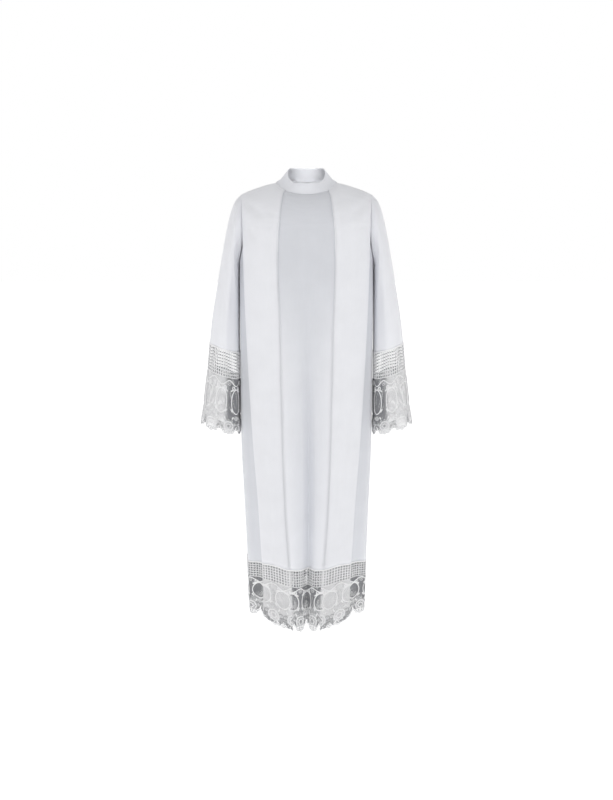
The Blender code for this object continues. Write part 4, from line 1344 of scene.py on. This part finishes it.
def make_alb_lace():
    """Twisted polyester thread of corded machine lace, bleached white: round, matt strands whose
    twist catches the light along one side."""
    material, tree, shader = new_material("bleached corded lace thread", {
        "IOR": 1.50, "Specular IOR Level": 0.35, "Sheen Weight": 0.15})
    place = add_node(tree, "ShaderNodeUVMap", {"uv_map": "cloth"}).outputs[0]
    painted_light = add_node(tree, "ShaderNodeAttribute", {"attribute_name": "painted_light"})
    # The twist of a 1 mm thread, a turn every 1.6 mm along the strand
    turned = add_node(tree, "ShaderNodeMapping", {"Rotation": (0.0, 0.0, 0.7)}, {"Vector": place})
    twist = add_node(tree, "ShaderNodeTexWave", {"Scale": 196.0, "Distortion": 1.2, "Detail": 1.0},
                     {"Vector": turned.outputs[0]}).outputs["Fac"]
    fuzz = add_node(tree, "ShaderNodeTexNoise", {"Scale": 60.0, "Detail": 2.0}, {"Vector": place})
    # Painted shade: dark grey where the painted light is 0, white where it is 1
    thread = add_node(tree, "ShaderNodeMix",
                      {"data_type": "RGBA", 6: linear("#5E6066"), 7: linear("#FDFDFE")},
                      {0: painted_light.outputs["Fac"]})
    wear = add_node(tree, "ShaderNodeMapRange",
                    {"From Min": 0.3, "From Max": 0.7, "To Min": 0.93, "To Max": 1.0},
                    {"Value": fuzz.outputs["Fac"]})
    colour = add_node(tree, "ShaderNodeMix", {"data_type": "RGBA", "blend_type": "MULTIPLY", 0: 1.0},
                      {6: thread.outputs[2], 7: wear.outputs["Result"]})
    roughness = add_node(tree, "ShaderNodeMapRange", {"To Min": 0.62, "To Max": 0.80}, {"Value": twist})
    bump = add_node(tree, "ShaderNodeBump", {"Strength": 0.35, "Distance": 0.0003}, {"Height": twist})
    tree.links.new(colour.outputs[2], shader.inputs["Base Color"])
    tree.links.new(roughness.outputs["Result"], shader.inputs["Roughness"])
    tree.links.new(bump.outputs[0], shader.inputs["Normal"])
    return material


def make_floor_paper():
    """Matt white paper of a studio sweep, with the faintest mottle."""
    material, tree, shader = new_material("matt white paper sweep", {
        "Roughness": 0.9, "Emission Color": WHITE, "Emission Strength": FLOOR_GLOW})
    place = add_node(tree, "ShaderNodeTexCoord")
    mottle = add_node(tree, "ShaderNodeTexNoise", {"Scale": 0.8, "Detail": 2.0},
                      {"Vector": place.outputs["Object"]})
    colour = add_node(tree, "ShaderNodeMix",
                      {"data_type": "RGBA", 6: linear("#FAFAFA"), 7: linear("#FFFFFF")},
                      {0: mottle.outputs["Fac"]})
    tree.links.new(colour.outputs[2], shader.inputs["Base Color"])
    return material


# ---------------------------------------------------------------- stage

WHITE = (1.0, 1.0, 1.0, 1.0)
FLOOR_DROP = 0.12
FLOOR_SIZE = 40.0
FLOOR_GLOW = 0.56
CAMERA_DISTANCE = 4.0
CAMERA_RISE = 0.63
LENS = 56.06
SENSOR_WIDTH = 36.0
WORLD_STRENGTH = 0.70
# Soft boxes: place, size and power. They aim a little above the robe's middle.
SOFT_BOXES = (
    ("left", (-2.3, -3.3, 0.9), (1.8, 2.4), 5.0),
    ("right", (2.4, -3.2, 0.8), (1.8, 2.4), 4.6),
    ("front", (0.0, -4.8, 0.9), (3.0, 2.4), 15.0),
)
SOFT_BOX_AIM = 0.8
# A narrow lamp for the inside of the collar
COLLAR_LAMP_PLACE = (0.0, -1.400, 0.620)
COLLAR_LAMP_TARGET = (0.0, 0.055, 0.046)
COLLAR_LAMP_POWER = 58.0
COLLAR_LAMP_CONE = math.radians(4.4)
COLLAR_LAMP_BLEND = 0.8
COLLAR_LAMP_RADIUS = 0.03


def put(name, data, place, target):
    """Puts a camera or light on the stage, turned to look at a point."""
    thing = bpy.data.objects.new(name, data)
    thing.location = place
    bpy.context.scene.collection.objects.link(thing)
    x, y, z = np.array(target) - np.array(thing.location)
    thing.rotation_euler = (math.atan2(math.hypot(x, y), -z), 0.0, math.atan2(y, x) - math.pi / 2.0)
    return thing


def make_surround():
    """An even white surround, a little dimmer as a light than it looks."""
    world = bpy.data.worlds.new("white surround")
    world.use_nodes = True
    tree = world.node_tree
    tree.nodes["Background"].inputs["Color"].default_value = WHITE
    seen = add_node(tree, "ShaderNodeLightPath")
    strength = add_node(tree, "ShaderNodeMix", {2: WORLD_STRENGTH, 3: 1.0},
                        {0: seen.outputs["Is Camera Ray"]})
    tree.links.new(strength.outputs[0], tree.nodes["Background"].inputs["Strength"])
    return world


def make_stage():
    """A pale floor, the surround, the lights and the camera."""
    low, high = CAD_BOX
    middle_z = 0.5 * (low[2] + high[2])
    bpy.ops.object.select_all(action="DESELECT")
    bpy.ops.mesh.primitive_plane_add(size=FLOOR_SIZE, location=(0.0, 0.0, low[2] - FLOOR_DROP))
    floor = bpy.context.active_object
    floor.name = "floor"
    bpy.ops.object.transform_apply(location=True, rotation=True, scale=True)
    floor.data.materials.append(make_floor_paper())
    bpy.context.scene.world = make_surround()
    for name, place, size, power in SOFT_BOXES:
        light = bpy.data.lights.new(name, "AREA")
        light.shape = "RECTANGLE"
        light.size, light.size_y = size
        light.energy = power
        put(name, light, place, (0.0, 0.0, middle_z * SOFT_BOX_AIM))
    lamp = bpy.data.lights.new("collar lamp", "SPOT")
    lamp.energy, lamp.shadow_soft_size = COLLAR_LAMP_POWER, COLLAR_LAMP_RADIUS
    lamp.spot_size, lamp.spot_blend = COLLAR_LAMP_CONE, COLLAR_LAMP_BLEND
    put("collar lamp", lamp, COLLAR_LAMP_PLACE, COLLAR_LAMP_TARGET)
    lens = bpy.data.cameras.new("camera")
    lens.lens, lens.sensor_width = LENS, SENSOR_WIDTH
    place = (0.0, -CAMERA_DISTANCE, middle_z + CAMERA_RISE)
    bpy.context.scene.camera = put("camera", lens, place, (0.0, 0.0, middle_z))
    bpy.context.scene.view_settings.view_transform = "Standard"


# ---------------------------------------------------------------- making the robe

ROUND_AT_WAIST = measure_round(WAIST_Z)
ROUND_AT_HEM = measure_round(LACE_MIDDLE_Z)
CUFF_ANGLES, CUFF_GIRTHS = cuff_girths()


def make_robe():
    """Every piece of cloth and lace, under the names of the pieces that are cut and sewn."""
    cloth, lace = [make_alb_cloth()], [make_alb_lace()]
    for facing, face in ((-1, "front"), (1, "back")):
        body_panel(face + "_centre_cloth", "centre", facing, 1, [face + "_centre"], cloth)
        for side, word in ((1, "left"), (-1, "right")):
            body_panel(face + "_pleat_" + word + "_cloth", "pleat", facing, side,
                       [face + "_pleat_" + word], cloth)
    for side, word in ((1, "left"), (-1, "right")):
        side_panel("side_" + word + "_cloth", side, ["side_" + word], cloth)
        sleeve_piece("sleeve_" + word + "_cloth", side, ["sleeve_" + word], cloth)
    collar_piece("collar_cloth", ["collar"], cloth)
    make_hem_lace(lace)
    make_cuff_lace(lace)


make_robe()
make_stage()
